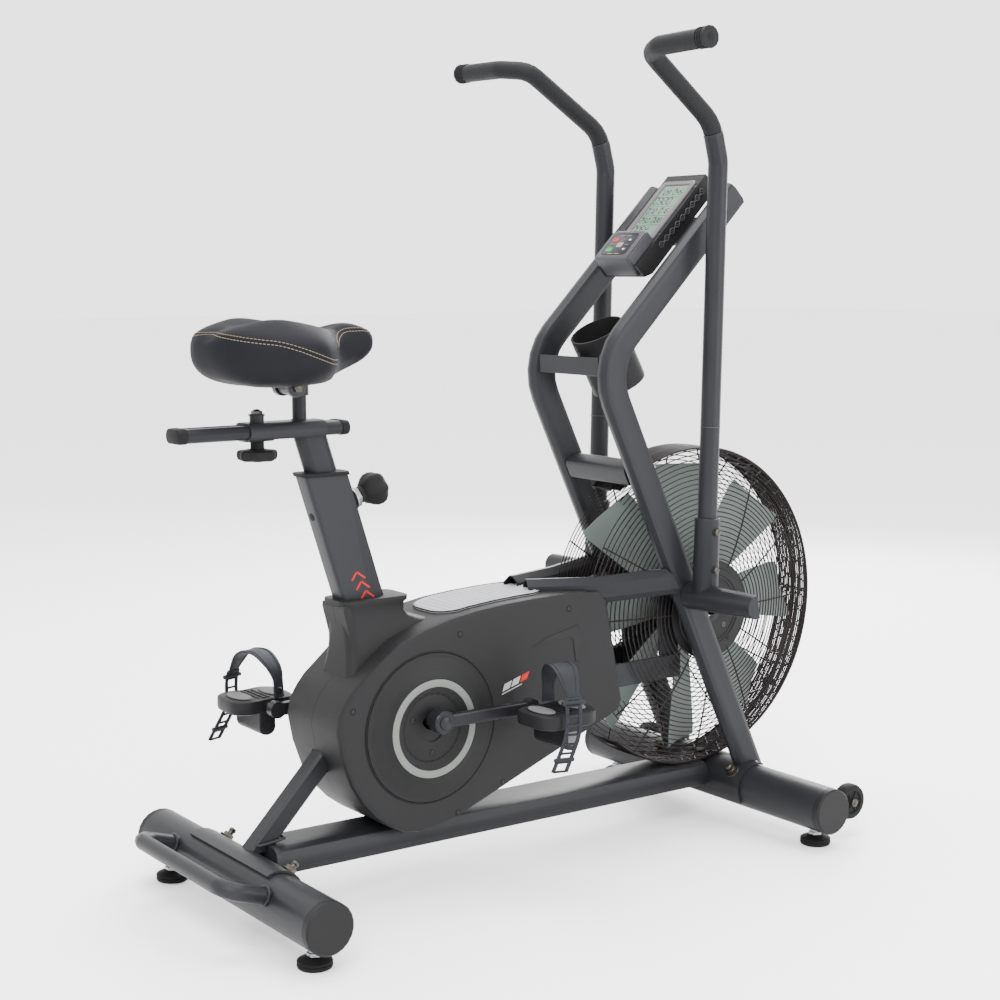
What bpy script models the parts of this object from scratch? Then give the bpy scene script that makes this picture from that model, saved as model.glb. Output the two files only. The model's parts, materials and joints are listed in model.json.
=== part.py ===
"""Air bike: an upright exercise bike whose pedals drive a caged fan and whose two arms swing with the cranks.

Metres, +Z up, +X from the saddle towards the fan, +Y to the rider's left. The floor is Z = 0.
All places below are measured from the point on the floor midway between the two stabilisers.
"""

import math

import bmesh
import bpy
from mathutils import Matrix, Vector

GAP = 0.0004                    # clearance between pieces that touch
ORIGIN_X = 0.050                # middle of the whole bike, ahead of the stabilisers' midpoint

# Base
STABILISER_X = 0.467
STABILISER_R = 0.0381
STABILISER_Z = 0.066
REAR_HALF = 0.2636
FRONT_HALF = 0.3019
CAP_LENGTH = 0.013
TUBE_WALL = 0.0025
FOOT_R = 0.0257
REAR_FOOT_Y = 0.219
FRONT_FOOT_Y = 0.254
WHEEL_R = 0.030
WHEEL_X = 0.552
WHEEL_Z = 0.059
WHEEL_Y = 0.255
SADDLE_PLATE_HALF = 0.120
SADDLE_PLATE_R = 0.0425
BEAM_WIDTH = 0.090
BEAM_HEIGHT = 0.044
BEAM_REAR_Z = 0.087
BEAM_FRONT_Z = 0.077
BEAM_REACH = STABILISER_X - SADDLE_PLATE_R + 0.002
BEAM_LINE = ((-BEAM_REACH, 0, BEAM_REAR_Z), (BEAM_REACH, 0, BEAM_FRONT_Z))
HANDLE_R = 0.0125
HANDLE_X = -0.5606
HANDLE_Y = 0.142
HANDLE_Z = 0.105

# Masts: one bent tube each side, from the front stabiliser up to the console
MAST_Y = 0.091
MAST_WIDTH = 0.048
MAST_THICK = 0.030
MAST_FOOT = (0.480, 0.090)
MAST_KNEE = (0.143, 0.798)
MAST_TOP = (0.4185, 1.0735)
MAST_BEND = 0.090

# Fan and its cage
FAN_X = 0.399
FAN_Z = 0.3765
CAGE_R = 0.2745
CAGE_HUB_R = 0.084
CAGE_HALF = 0.0755
RIM_HALF = 0.036
FAN_AXLE_R = 0.010
BLADE_COUNT = 8
BLADE_PITCH = math.radians(66)

# Swinging arms
PIVOT_X = 0.3225
PIVOT_Z = 0.4146
ARM_Y = 0.140
ARM_R = 0.016
SHAFT_R = 0.012
LEVER_Y = 0.0475
LEVER_THICK = 0.005
ROD_Y = 0.0535
ROD_THICK = 0.004
LEVER_PIN = (0.330, 0.285)

# Crank drive
CRANK_X = -0.176
CRANK_Z = 0.276
CRANK_LENGTH = 0.163
CRANK_Y = 0.105
PEDAL_Y = 0.176
DRIVE_R = 0.092
DRIVEN_R = 0.032
BELT_Y = 0.0375
DISC_X = -0.177
DISC_Z = 0.2616
DISC_R = 0.1156
COVER_HALF = 0.078

# Seat
SEAT_LEAN = math.radians(18.0)
SEAT_TOP = (-0.317, 0.648)
SEAT_TUBE = (0.071, 0.035)
POST = (0.050, 0.025)
PIN_DROP = 0.0525                # the pop-pin's axis below the tube's top
RAIL_MIDDLE = (-0.345, 0.7185)
RAIL = (0.045, 0.0205)

# Console, in its own sloping frame: "along" runs up the face, "out" is square to it
CONSOLE_SLOPE = math.radians(45.0)
CONSOLE_FOOT = (0.2685, 0.9325)

PAINT = ("frame_paint", (0.050, 0.051, 0.055), 0.42, 0.30)
PLASTIC = ("housing_plastic", (0.045, 0.045, 0.047), 0.60, 0.0)
DISC = ("disc_plastic", (0.038, 0.038, 0.040), 0.50, 0.0)
RUBBER = ("black_rubber", (0.018, 0.018, 0.019), 0.75, 0.0)
STEEL = ("dark_steel", (0.16, 0.16, 0.165), 0.35, 0.9)
WIRE = ("wire_coating", (0.020, 0.018, 0.019), 0.45, 0.2)
BLADE = ("blade_plastic", (0.22, 0.25, 0.235), 0.50, 0.0)
VINYL = ("saddle_vinyl", (0.035, 0.035, 0.040), 0.55, 0.0)
GRIP = ("grip_foam", (0.030, 0.030, 0.032), 0.80, 0.0)
PEDAL = ("pedal_plastic", (0.040, 0.040, 0.043), 0.55, 0.0)
SCREEN = ("lcd_screen", (0.29, 0.45, 0.34), 0.15, 0.0)
KEY_RED = ("key_red", (0.55, 0.04, 0.05), 0.4, 0.0)
KEY_GREEN = ("key_green", (0.05, 0.42, 0.12), 0.4, 0.0)
KEY_WHITE = ("key_white", (0.75, 0.75, 0.78), 0.4, 0.0)
KEY_SILVER = ("key_silver", (0.50, 0.50, 0.50), 0.35, 0.4)

PIVOTS = {}


def clear_scene():
    for item in list(bpy.data.objects):
        bpy.data.objects.remove(item, do_unlink=True)


def add_pivot(name, place, parent="bike"):
    """An empty on a joint's axis. place is measured like every other place in this file."""
    empty = bpy.data.objects.new("pivot_" + name, None)
    bpy.context.collection.objects.link(empty)
    above = PIVOTS.get(parent)
    empty.location = Vector(place) - (above[1] if above else Vector((ORIGIN_X, 0, 0)))
    if above:
        empty.parent = above[0]
    PIVOTS[name] = (empty, Vector(place))


def material_of(part, finish):
    """The part's own material, with the look of its finish."""
    finish_name, colour, roughness, metallic = finish
    made = bpy.data.materials.new(part + "_" + finish_name)
    made.use_nodes = True
    made.diffuse_color = (*colour, 1.0)
    shader = made.node_tree.nodes["Principled BSDF"]
    shader.inputs["Base Color"].default_value = (*colour, 1.0)
    shader.inputs["Roughness"].default_value = roughness
    shader.inputs["Metallic"].default_value = metallic
    return made


def add_solid(name, shape, finish, pivot="bike"):
    """An object from (vertices, faces), hung on a pivot, with its faces turned outwards."""
    vertices, faces = shape
    empty, origin = PIVOTS[pivot]
    mesh = bpy.data.meshes.new(name)
    mesh.from_pydata([Vector(v) - origin for v in vertices], [], faces)
    work = bmesh.new()
    work.from_mesh(mesh)
    bmesh.ops.remove_doubles(work, verts=work.verts, dist=1e-6)
    bmesh.ops.recalc_face_normals(work, faces=work.faces)
    work.to_mesh(mesh)
    work.free()
    mesh.shade_smooth()
    mesh.set_sharp_from_angle(angle=math.radians(35))
    if finish:
        mesh.materials.append(material_of(name, finish))
    item = bpy.data.objects.new(name, mesh)
    bpy.context.collection.objects.link(item)
    item.parent = empty
    return item


def add_boolean(item, shape, operation, tool_name, pivot="bike"):
    tool = add_solid(tool_name, shape, None, pivot)
    tool.hide_render = True
    tool.display_type = "WIRE"
    modifier = item.modifiers.new(tool_name, "BOOLEAN")
    modifier.operation = operation
    modifier.solver = "EXACT"
    modifier.object = tool


def cut(item, shape, what):
    add_boolean(item, shape, "DIFFERENCE", "cutter_" + item.name + "_" + what)


def weld(item, shape, what):
    add_boolean(item, shape, "UNION", "welded_" + item.name + "_" + what)


def circle(radius, count=24):
    turns = (2 * math.pi * (i + 0.5) / count for i in range(count))
    return [(radius * math.cos(t), radius * math.sin(t)) for t in turns]


def rounded_box(width, height, corner, steps=3):
    """A rounded rectangle's outline; a corner of half the height gives a flat oval."""
    points = []
    for sign_a, sign_b, start in ((1, 1, 0), (-1, 1, 90), (-1, -1, 180), (1, -1, 270)):
        middle_a = sign_a * (width / 2 - corner)
        middle_b = sign_b * (height / 2 - corner)
        for i in range(steps + 1):
            t = math.radians(start + 90 * i / steps)
            points.append((middle_a + corner * math.cos(t), middle_b + corner * math.sin(t)))
    return points


def bend(points, radius, steps=6):
    """A path through the points with each inner corner turned into an arc."""
    points = [Vector(p) for p in points]
    path = [points[0]]
    for before, corner, after in zip(points, points[1:], points[2:]):
        a = (before - corner).normalized()
        b = (after - corner).normalized()
        half = a.angle(b) / 2
        reach = radius / math.tan(half)
        centre = corner + (a + b).normalized() * radius / math.sin(half)
        first = corner + a * reach - centre
        turn = math.pi - 2 * half
        axis = first.cross(corner + b * reach - centre).normalized()
        for i in range(steps + 1):
            path.append(centre + Matrix.Rotation(turn * i / steps, 3, axis) @ first)
    path.append(points[-1])
    return path


def sweep(path, section, hollow=None, side=(0, 1, 0), start_plane=None, end_plane=None, sizes=None):
    """A section carried along a path. hollow is the bore's section; a plane is an end's cut, by its normal.

    The section's first axis lies across the path in the plane square to side, and its second along side.
    """
    path = [Vector(p) for p in path]
    last = len(path) - 1
    tangents = []
    for i in range(last + 1):
        before = (path[i] - path[i - 1]).normalized() if i > 0 else Vector()
        after = (path[i + 1] - path[i]).normalized() if i < last else Vector()
        tangents.append((before + after).normalized())
    across = Vector(side)
    frames = []
    for tangent in tangents:
        across = (across - tangent * across.dot(tangent)).normalized()
        frames.append((tangent.cross(across), across))
    planes = {0: start_plane, last: end_plane}
    loops = [section] + ([hollow] if hollow else [])
    vertices, faces = [], []
    starts = []
    for number, loop in enumerate(loops):
        starts.append(len(vertices))
        for i, (place, tangent, (first, second)) in enumerate(zip(path, tangents, frames)):
            size = sizes[i] if sizes and number == 0 else 1.0
            for a, b in loop:
                point = place + first * a * size + second * b * size
                if planes.get(i):
                    normal = Vector(planes[i])
                    point += tangent * ((place - point).dot(normal) / tangent.dot(normal))
                vertices.append(point)
        count = len(loop)
        for i in range(last):
            for j in range(count):
                k = (j + 1) % count
                base = starts[-1] + i * count
                faces.append((base + j, base + k, base + count + k, base + count + j))
    count = len(section)
    for i in (0, last):
        ring = [starts[0] + i * count + j for j in range(count)]
        if not hollow:
            faces.append(ring)
            continue
        inner = [starts[1] + i * count + j for j in range(count)]
        for j in range(count):
            k = (j + 1) % count
            faces.append((ring[j], ring[k], inner[k], inner[j]))
    return vertices, faces


def lathe(profile, centre, axis=(0, 1, 0), count=24, ring=False):
    """A turned solid from (radius, height along axis) points. A ring's profile is a closed loop clear of the axis."""
    axis = Vector(axis).normalized()
    first = axis.orthogonal().normalized()
    if abs(axis.z) < 0.9:
        first = axis.cross(Vector((0, 0, 1))).normalized()
    second = axis.cross(first)
    centre = Vector(centre)
    vertices, rows = [], []
    for radius, height in profile:
        if radius == 0:
            rows.append([len(vertices)] * count)
            vertices.append(centre + axis * height)
            continue
        rows.append(list(range(len(vertices), len(vertices) + count)))
        for i in range(count):
            t = 2 * math.pi * (i + 0.5) / count
            vertices.append(centre + axis * height + (first * math.cos(t) + second * math.sin(t)) * radius)
    faces = []
    pairs = list(zip(rows, rows[1:])) + ([(rows[-1], rows[0])] if ring else [])
    for lower, upper in pairs:
        for i in range(count):
            j = (i + 1) % count
            face = []
            for corner in (lower[i], lower[j], upper[j], upper[i]):
                if corner not in face:
                    face.append(corner)
            faces.append(face)
    return vertices, faces


def rod(start, end, radius, count=24):
    start, end = Vector(start), Vector(end)
    return lathe([(0, 0), (radius, 0), (radius, (end - start).length), (0, (end - start).length)],
                 start, end - start, count)


def loft(rings):
    """A closed solid through rings of equal length, its first and last rings filled."""
    count = len(rings[0])
    vertices = [p for ring in rings for p in ring]
    faces = [list(range(count)), [len(vertices) - count + j for j in range(count)]]
    for i in range(len(rings) - 1):
        for j in range(count):
            k = (j + 1) % count
            faces.append((i * count + j, i * count + k, (i + 1) * count + k, (i + 1) * count + j))
    return vertices, faces


def prism(outline, low, high):
    """An outline in X and Z, extruded along Y."""
    return loft([[(x, y, z) for x, z in outline] for y in (low, high)])


def block(low, high):
    outline = [(low[0], low[2]), (high[0], low[2]), (high[0], high[2]), (low[0], high[2])]
    return prism(outline, low[1], high[1])


def mirrored(shape, side):
    """A shape drawn on the +Y side, moved to the side wanted."""
    vertices, faces = shape
    return [(v[0], v[1] * side, v[2]) for v in vertices], faces


def moved(shape, matrix):
    vertices, faces = shape
    return [matrix @ Vector(v) for v in vertices], faces


def smooth_outline(points, steps=3):
    """An open curve through the points."""
    result = []
    for i in range(len(points) - 1):
        before = points[max(i - 1, 0)]
        after = points[min(i + 2, len(points) - 1)]
        for step in range(steps):
            t = step / steps
            weights = (-t + 2 * t * t - t ** 3, 2 - 5 * t * t + 3 * t ** 3, t + 4 * t * t - 3 * t ** 3, t ** 3 - t * t)
            spots = (before, points[i], points[i + 1], after)
            result.append(tuple(sum(w * p[axis] for w, p in zip(weights, spots)) / 2 for axis in (0, 1)))
    result.append(points[-1])
    return result


def grown(outline, distance):
    """A counter-clockwise outline moved outwards by a distance."""
    result = []
    count = len(outline)
    for i in range(count):
        before, here, after = (Vector(outline[(i + k) % count]) for k in (-1, 0, 1))
        first = (here - before).normalized()
        second = (after - here).normalized()
        normal = Vector((first.y + second.y, -first.x - second.x)).normalized()
        stretch = max(normal.dot(Vector((first.y, -first.x))), 0.5)
        result.append(tuple(here + normal * distance / stretch))
    return result


def rectangle(width, height):
    return [(width / 2, height / 2), (-width / 2, height / 2), (-width / 2, -height / 2), (width / 2, -height / 2)]


def clear(radius, count):
    """The radius of a polygon bore of so many sides that leaves the usual gap round a shaft."""
    return (radius + GAP) / math.cos(math.pi / count)


SIDES = (("right", -1), ("left", 1))


def make_base():
    for name, x, half in (("rear", -STABILISER_X, REAR_HALF), ("front", STABILISER_X, FRONT_HALF)):
        reach = half - CAP_LENGTH - GAP
        tube = sweep([(x, -reach, STABILISER_Z), (x, reach, STABILISER_Z)], circle(STABILISER_R, 22),
                     circle(STABILISER_R - TUBE_WALL, 22), side=(0, 0, 1))
        item = add_solid(name + "_stabiliser", tube, PAINT)
        if name == "rear":
            weld(item, carry_handle(), "carry_handle")
        for side_name, side in SIDES:
            cap = [(0, -0.010), (STABILISER_R - 0.003, -0.010), (STABILISER_R - 0.003, 0), (STABILISER_R, 0),
                   (STABILISER_R, CAP_LENGTH - 0.003), (STABILISER_R - 0.003, CAP_LENGTH), (0, CAP_LENGTH)]
            place = (x, side * (half - CAP_LENGTH), STABILISER_Z)
            add_solid(name + "_end_cap_" + side_name, lathe(cap, place, (0, side, 0), 22), PLASTIC)
            if name == "front":
                weld(item, wheel_bracket(side), "bracket_" + side_name)
                weld(item, wheel_pin(side), "wheel_pin_" + side_name)


def carry_handle():
    foot = (-STABILISER_X - 0.028, STABILISER_Z + 0.0175)
    path = bend([(foot[0], HANDLE_Y, foot[1]), (HANDLE_X, HANDLE_Y, HANDLE_Z),
                 (HANDLE_X, -HANDLE_Y, HANDLE_Z), (foot[0], -HANDLE_Y, foot[1])], 0.026, 3)
    return sweep(path, circle(HANDLE_R, 10), side=(0, 0, 1))


def wheel_bracket(side):
    """A cheek inboard of a transport wheel."""
    inner = side * (WHEEL_Y - 0.014)
    return sweep([(STABILISER_X + STABILISER_R - 0.008, inner, WHEEL_Z), (WHEEL_X + 0.010, inner, WHEEL_Z)],
                 rounded_box(0.026, 0.004, 0.0012, 1))


def wheel_pin(side):
    return rod((WHEEL_X, side * (WHEEL_Y - 0.018), WHEEL_Z), (WHEEL_X, side * (WHEEL_Y + 0.015), WHEEL_Z), 0.004, 10)


def make_wheels():
    for side_name, side in SIDES:
        add_pivot("transport_wheel_" + side_name, (WHEEL_X, side * WHEEL_Y, WHEEL_Z))
        profile = [(0.0045, -0.011), (0.024, -0.011), (WHEEL_R, -0.007), (WHEEL_R, 0.007), (0.024, 0.011),
                   (0.0045, 0.011)]
        wheel = lathe(profile, (WHEEL_X, side * WHEEL_Y, WHEEL_Z), (0, 1, 0), 18, ring=True)
        add_solid("transport_wheel_" + side_name, wheel, RUBBER, "transport_wheel_" + side_name)


def make_feet():
    for end, x, y in (("rear", -STABILISER_X, REAR_FOOT_Y), ("front", STABILISER_X + 0.008, FRONT_FOOT_Y)):
        for side_name, side in SIDES:
            name = end + "_foot_" + side_name
            add_pivot(name, (x, side * y, 0))
            profile = [(0, 0), (FOOT_R - 0.002, 0), (FOOT_R, 0.002), (FOOT_R - 0.001, 0.011), (0.013, 0.016),
                       (0.009, 0.017), (0.009, 0.0265), (0, 0.0265)]
            add_solid(name, lathe(profile, (x, side * y, 0), (0, 0, 1), 16), RUBBER, name)


def saddle_plate(x, facing):
    """A curved plate hugging a stabiliser tube, on the side that faces the beam."""
    inner = clear(STABILISER_R, 24)
    angles = [math.radians(-35 + 15 * i) for i in range(11)]
    outline = [(x + facing * SADDLE_PLATE_R * math.cos(t), STABILISER_Z + SADDLE_PLATE_R * math.sin(t))
               for t in angles]
    outline += [(x + facing * inner * math.cos(t), STABILISER_Z + inner * math.sin(t)) for t in reversed(angles)]
    return prism(outline, -SADDLE_PLATE_HALF, SADDLE_PLATE_HALF)


def make_beam():
    """The base beam with its two saddle plates and the strut that rises into the housing, welded into one."""
    outer = rounded_box(BEAM_HEIGHT, BEAM_WIDTH, 0.016, 2)
    inner = rounded_box(BEAM_HEIGHT - 2 * TUBE_WALL, BEAM_WIDTH - 2 * TUBE_WALL, 0.0135, 2)
    item = add_solid("base_beam", sweep(BEAM_LINE, outer, inner), PAINT)
    weld(item, saddle_plate(-STABILISER_X, 1), "rear_saddle")
    weld(item, saddle_plate(STABILISER_X, -1), "front_saddle")
    weld(item, strut(0.030, hollow=True), "strut")
    rear_tube = rod((-STABILISER_X, -0.2, STABILISER_Z), (-STABILISER_X, 0.2, STABILISER_Z), clear(STABILISER_R, 20), 20)
    cut(item, rear_tube, "rear_tube")
    cut(item, rod((0, 0, 0.04), (0, 0, 0.07), 0.008, 10), "drain_hole")


def strut(width, hollow=False):
    section = rounded_box(width, width, 0.004, 1)
    bore = rounded_box(width - 2 * TUBE_WALL, width - 2 * TUBE_WALL, 0.002, 1) if hollow else None
    foot = (-0.4395, 0, 0.100)
    face = Vector(along_seat((STRUT_MEETS - SEAT_TOP[1]) / math.cos(SEAT_LEAN)))
    normal = Vector((math.cos(SEAT_LEAN), 0, math.sin(SEAT_LEAN)))
    head = face - normal * (SEAT_TUBE[0] / 2 + GAP)
    return sweep([foot, head], section, bore, start_plane=(0, 0, 1), end_plane=normal)


STRUT_MEETS = 0.315


def mast_path(side):
    points = [(x, side * MAST_Y, z) for x, z in (MAST_FOOT, MAST_KNEE, MAST_TOP)]
    return bend(points, MAST_BEND, 5)


def make_masts():
    outer = rounded_box(MAST_WIDTH, MAST_THICK, 0.0120, 2)
    inner = rounded_box(MAST_WIDTH - 2 * TUBE_WALL, MAST_THICK - 2 * TUBE_WALL, 0.0095, 2)
    for side_name, side in SIDES:
        item = add_solid("mast_" + side_name, sweep(mast_path(side), outer, inner), PAINT)
        round_base = rod((STABILISER_X, side * 0.06, STABILISER_Z), (STABILISER_X, side * 0.13, STABILISER_Z),
                         clear(SADDLE_PLATE_R, 24), 24)
        cut(item, round_base, "base")
        hole = rod((PIVOT_X, side * 0.07, PIVOT_Z), (PIVOT_X, side * 0.11, PIVOT_Z), SHAFT_R + 0.0006, 14)
        cut(item, hole, "pivot_hole")


def make_crossbars():
    reach = MAST_Y - MAST_THICK / 2 - GAP
    lower = sweep([(0.222, -reach, 0.622), (0.222, reach, 0.622)], rounded_box(0.034, 0.036, 0.008, 2),
                  rounded_box(0.029, 0.031, 0.006, 2), side=(0.42, 0, -0.9))
    add_solid("lower_crossbar", lower, PAINT)
    add_solid("upper_crossbar", block((0.146, -reach, 0.781), (0.152, reach, 0.810)), PAINT)


def side_tube(side, grow=0.0):
    """A yoke tube from inside the housing's front, round the cage, to the mast."""
    path = bend([(0.045, side * 0.020, 0.436), (0.158, side * 0.0605, 0.434), (0.262, side * 0.0915, 0.440)], 0.20, 4)
    lean = Vector((MAST_KNEE[0] - MAST_FOOT[0], 0, MAST_KNEE[1] - MAST_FOOT[1])).normalized()
    normal = lean.cross(Vector((0, 1, 0)))
    section = rounded_box(0.044 + 2 * grow, 0.028 + 2 * grow, 0.011, 1)
    bore = None if grow else rounded_box(0.039, 0.023, 0.0085, 1)
    end = path[-1]
    distance = (Vector((MAST_FOOT[0], 0, MAST_FOOT[1])) - Vector((end.x, 0, end.z))).dot(normal)
    direction = (path[-1] - path[-2]).normalized()
    slack = MAST_WIDTH / 2 + GAP
    shift = (abs(distance) - slack) / abs(direction.dot(normal))
    path[-1] = end + direction * shift
    return sweep(path, section, bore, end_plane=normal)


def make_side_tubes():
    for side_name, side in SIDES:
        add_solid("side_tube_" + side_name, side_tube(side), PAINT)


def along_seat(distance):
    """A point on the seat tube's centre line, a distance above its top."""
    return (SEAT_TOP[0] - math.sin(SEAT_LEAN) * distance, 0, SEAT_TOP[1] + math.cos(SEAT_LEAN) * distance)


def seat_tube_shape(grow=0.0, hollow=True):
    bottom = (BEAM_REAR_Z + BEAM_FRONT_Z) / 2 + BEAM_HEIGHT / 2 + 0.0025
    length = (SEAT_TOP[1] - bottom) / math.cos(SEAT_LEAN)
    width, thick = SEAT_TUBE
    section = rounded_box(width + 2 * grow, thick + 2 * grow, 0.006 + grow, 2)
    bore = rounded_box(width - 2 * TUBE_WALL, thick - 2 * TUBE_WALL, 0.0035, 2) if hollow else None
    start = along_seat(-length)
    if grow:
        start = along_seat(-length - 0.03)
    return sweep([start, along_seat(grow * 10)], section, bore, start_plane=(0, 0, 1), end_plane=(0, 0, 1))


def make_seat_tube():
    item = add_solid("seat_tube", seat_tube_shape(), PAINT)
    weld(item, rod((CRANK_X, -0.032, CRANK_Z), (CRANK_X, 0.032, CRANK_Z), 0.027, 16), "bearing_shell")
    cut(item, rod((CRANK_X, -0.04, CRANK_Z), (CRANK_X, 0.04, CRANK_Z), 0.0126, 14), "axle_hole")
    forward = Vector((math.cos(SEAT_LEAN), 0, math.sin(SEAT_LEAN)))
    place = Vector(along_seat(-PIN_DROP))
    boss = rod(place + forward * (SEAT_TUBE[0] / 2 - 0.0015), place + forward * (SEAT_TUBE[0] / 2 + 0.012), 0.013, 12)
    weld(item, boss, "pin_boss")
    cut(item, rod(place + forward * 0.02, place + forward * 0.06, 0.0052, 10), "pin_hole")
    bushing()


def bushing():
    """The plastic sleeve in the tube's mouth, with the flange that caps it."""
    width, thick = SEAT_TUBE
    body = sweep([along_seat(-0.095), along_seat(0.003)],
                 rounded_box(width - 2 * TUBE_WALL - 0.0008, thick - 2 * TUBE_WALL - 0.0008, 0.003, 2),
                 end_plane=(0, 0, 1))
    item = add_solid("seat_tube_bushing", body, RUBBER)
    flange = sweep([along_seat(GAP), along_seat(0.0060)], rounded_box(width + 0.006, thick + 0.006, 0.009, 2),
                   start_plane=(0, 0, 1), end_plane=(0, 0, 1))
    weld(item, flange, "flange")
    bore = sweep([along_seat(-0.110), along_seat(0.030)], rounded_box(POST[0] + 0.0010, POST[1] + 0.0010, 0.0129, 3))
    cut(item, bore, "bore")
    forward = Vector((math.cos(SEAT_LEAN), 0, math.sin(SEAT_LEAN)))
    place = Vector(along_seat(-PIN_DROP))
    cut(item, rod(place + forward * 0.02, place + forward * 0.05, 0.0052, 10), "pin_hole")


def make_pop_pin():
    forward = Vector((math.cos(SEAT_LEAN), 0, math.sin(SEAT_LEAN)))
    place = Vector(along_seat(-PIN_DROP))
    add_pivot("pop_pin", place)
    start = POST[0] / 2 + GAP + 0.0004
    knob = SEAT_TUBE[0] / 2 + 0.0145
    profile = [(0, start), (0.0042, start), (0.0042, knob - 0.001), (0.0125, knob - 0.001), (0.0125, knob + 0.006),
               (0.017, knob + 0.008), (0.0255, knob + 0.018), (0.027, knob + 0.030), (0.022, knob + 0.041),
               (0.010, knob + 0.046), (0, knob + 0.046)]
    add_solid("pop_pin", lathe(profile, place, forward, 16), RUBBER, "pop_pin")


def rail_point(distance, lift=0.0):
    """A point on the seat rail's centre line; distance runs forwards from the post."""
    return (RAIL_MIDDLE[0] + distance, 0, RAIL_MIDDLE[1] + lift)


RAIL_REAR = -0.211
RAIL_FRONT = 0.066
CARRIAGE_REAR = -0.101
CARRIAGE_FRONT = 0.024
CLAMP_AT = -0.0785
STEM_AT = -0.0085
TILT_BEHIND = 0.017             # the tilt axis behind the stem
TILT_Z = 0.7815
STEM_TOP = 0.7900


def make_seat_post():
    """The post with the flat-oval rail welded across its head."""
    add_pivot("seat_post", along_seat(0))
    post = sweep([along_seat(-0.245), along_seat(0.072)], rounded_box(POST[0], POST[1], 0.0124, 3),
                 rounded_box(POST[0] - 2 * TUBE_WALL, POST[1] - 2 * TUBE_WALL, 0.0099, 3), end_plane=(0, 0, 1))
    item = add_solid("seat_post", post, PAINT, "seat_post")
    path = [rail_point(d) for d in (RAIL_REAR, RAIL_REAR + 0.003, RAIL_REAR + 0.010, RAIL_FRONT - 0.010,
                                    RAIL_FRONT - 0.003, RAIL_FRONT)]
    rail = sweep(path, rounded_box(RAIL[1], RAIL[0], 0.0103, 3), sizes=[0.55, 0.85, 1, 1, 0.85, 0.55])
    weld(item, rail, "rail")
    slot_rear = rail_point(RAIL_REAR + 0.022)
    slot_front = rail_point(-0.045)
    cut(item, sweep([slot_rear, slot_front], rounded_box(0.05, 0.011, 0.0054, 3)), "slot")
    forward = Vector((math.cos(SEAT_LEAN), 0, math.sin(SEAT_LEAN)))
    for i in range(5):
        place = Vector(along_seat(-PIN_DROP - 0.025 * i))
        cut(item, rod(place + forward * 0.018, place + forward * 0.03, 0.0050, 8), "hole_" + str(i))


def make_carriage():
    """A sleeve that slides on the rail, with the saddle's stem welded on top."""
    add_pivot("saddle_carriage", rail_point(0), "seat_post")
    outer = rounded_box(RAIL[1] + 0.0066, RAIL[0] + 0.0066, 0.0135, 3)
    inner = rounded_box(RAIL[1] + 0.0008, RAIL[0] + 0.0008, 0.0106, 3)
    sleeve = sweep([rail_point(CARRIAGE_REAR), rail_point(CARRIAGE_FRONT)], outer, inner)
    item = add_solid("saddle_carriage", sleeve, PAINT, "saddle_carriage")
    lift = RAIL[1] / 2 + 0.0015
    foot = Vector(rail_point(STEM_AT, lift))
    head = Vector((foot.x, 0, STEM_TOP))
    weld(item, rod(foot, head, 0.0105, 12), "stem")
    weld(item, rod((foot.x, 0, STEM_TOP - 0.022), head + Vector((0, 0, 0.0015)), 0.0140, 12), "clamp_sleeve")
    axis = Vector((foot.x - TILT_BEHIND, 0, TILT_Z))
    weld(item, rod(axis - Vector((0, 0.0125, 0)), axis + Vector((0, 0.0125, 0)), 0.0120, 12), "clamp_boss")
    cut(item, rod(axis - Vector((0, 0.02, 0)), axis + Vector((0, 0.02, 0)), 0.0047, 10), "tilt_bore")
    clamp = Vector(rail_point(CLAMP_AT, lift))
    up = Vector(rail_point(CLAMP_AT, 1)) - Vector(rail_point(CLAMP_AT, 0))
    weld(item, rod(clamp, clamp + up * 0.012, 0.0105, 16), "bolt_head")
    relief = sweep([rail_point(CARRIAGE_FRONT - 0.085, -0.0125), rail_point(CARRIAGE_FRONT + 0.01, -0.0125)],
                   rounded_box(0.008, 0.040, 0.0005, 1))
    cut(item, relief, "post_relief")
    bore = rod(clamp - up * 0.035, clamp + up * 0.002, 0.0046, 16)
    cut(item, bore, "clamp_hole")


def make_clamp_knob():
    up = (Vector(rail_point(0, 1)) - Vector(rail_point(0, 0))).normalized()
    place = Vector(rail_point(CLAMP_AT, 0))
    add_pivot("clamp_knob", place, "saddle_carriage")
    under = -RAIL[1] / 2 - 0.0033 - GAP
    profile = [(0, 0.006), (0.0042, 0.006), (0.0042, under), (0.0100, under), (0.0100, under - 0.0115),
               (0.027, under - 0.0120), (0.0300, under - 0.015), (0.0300, under - 0.024), (0.026, under - 0.028),
               (0, under - 0.029)]
    add_solid("clamp_knob", lathe(profile, place, up, 14), RUBBER, "clamp_knob")


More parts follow.
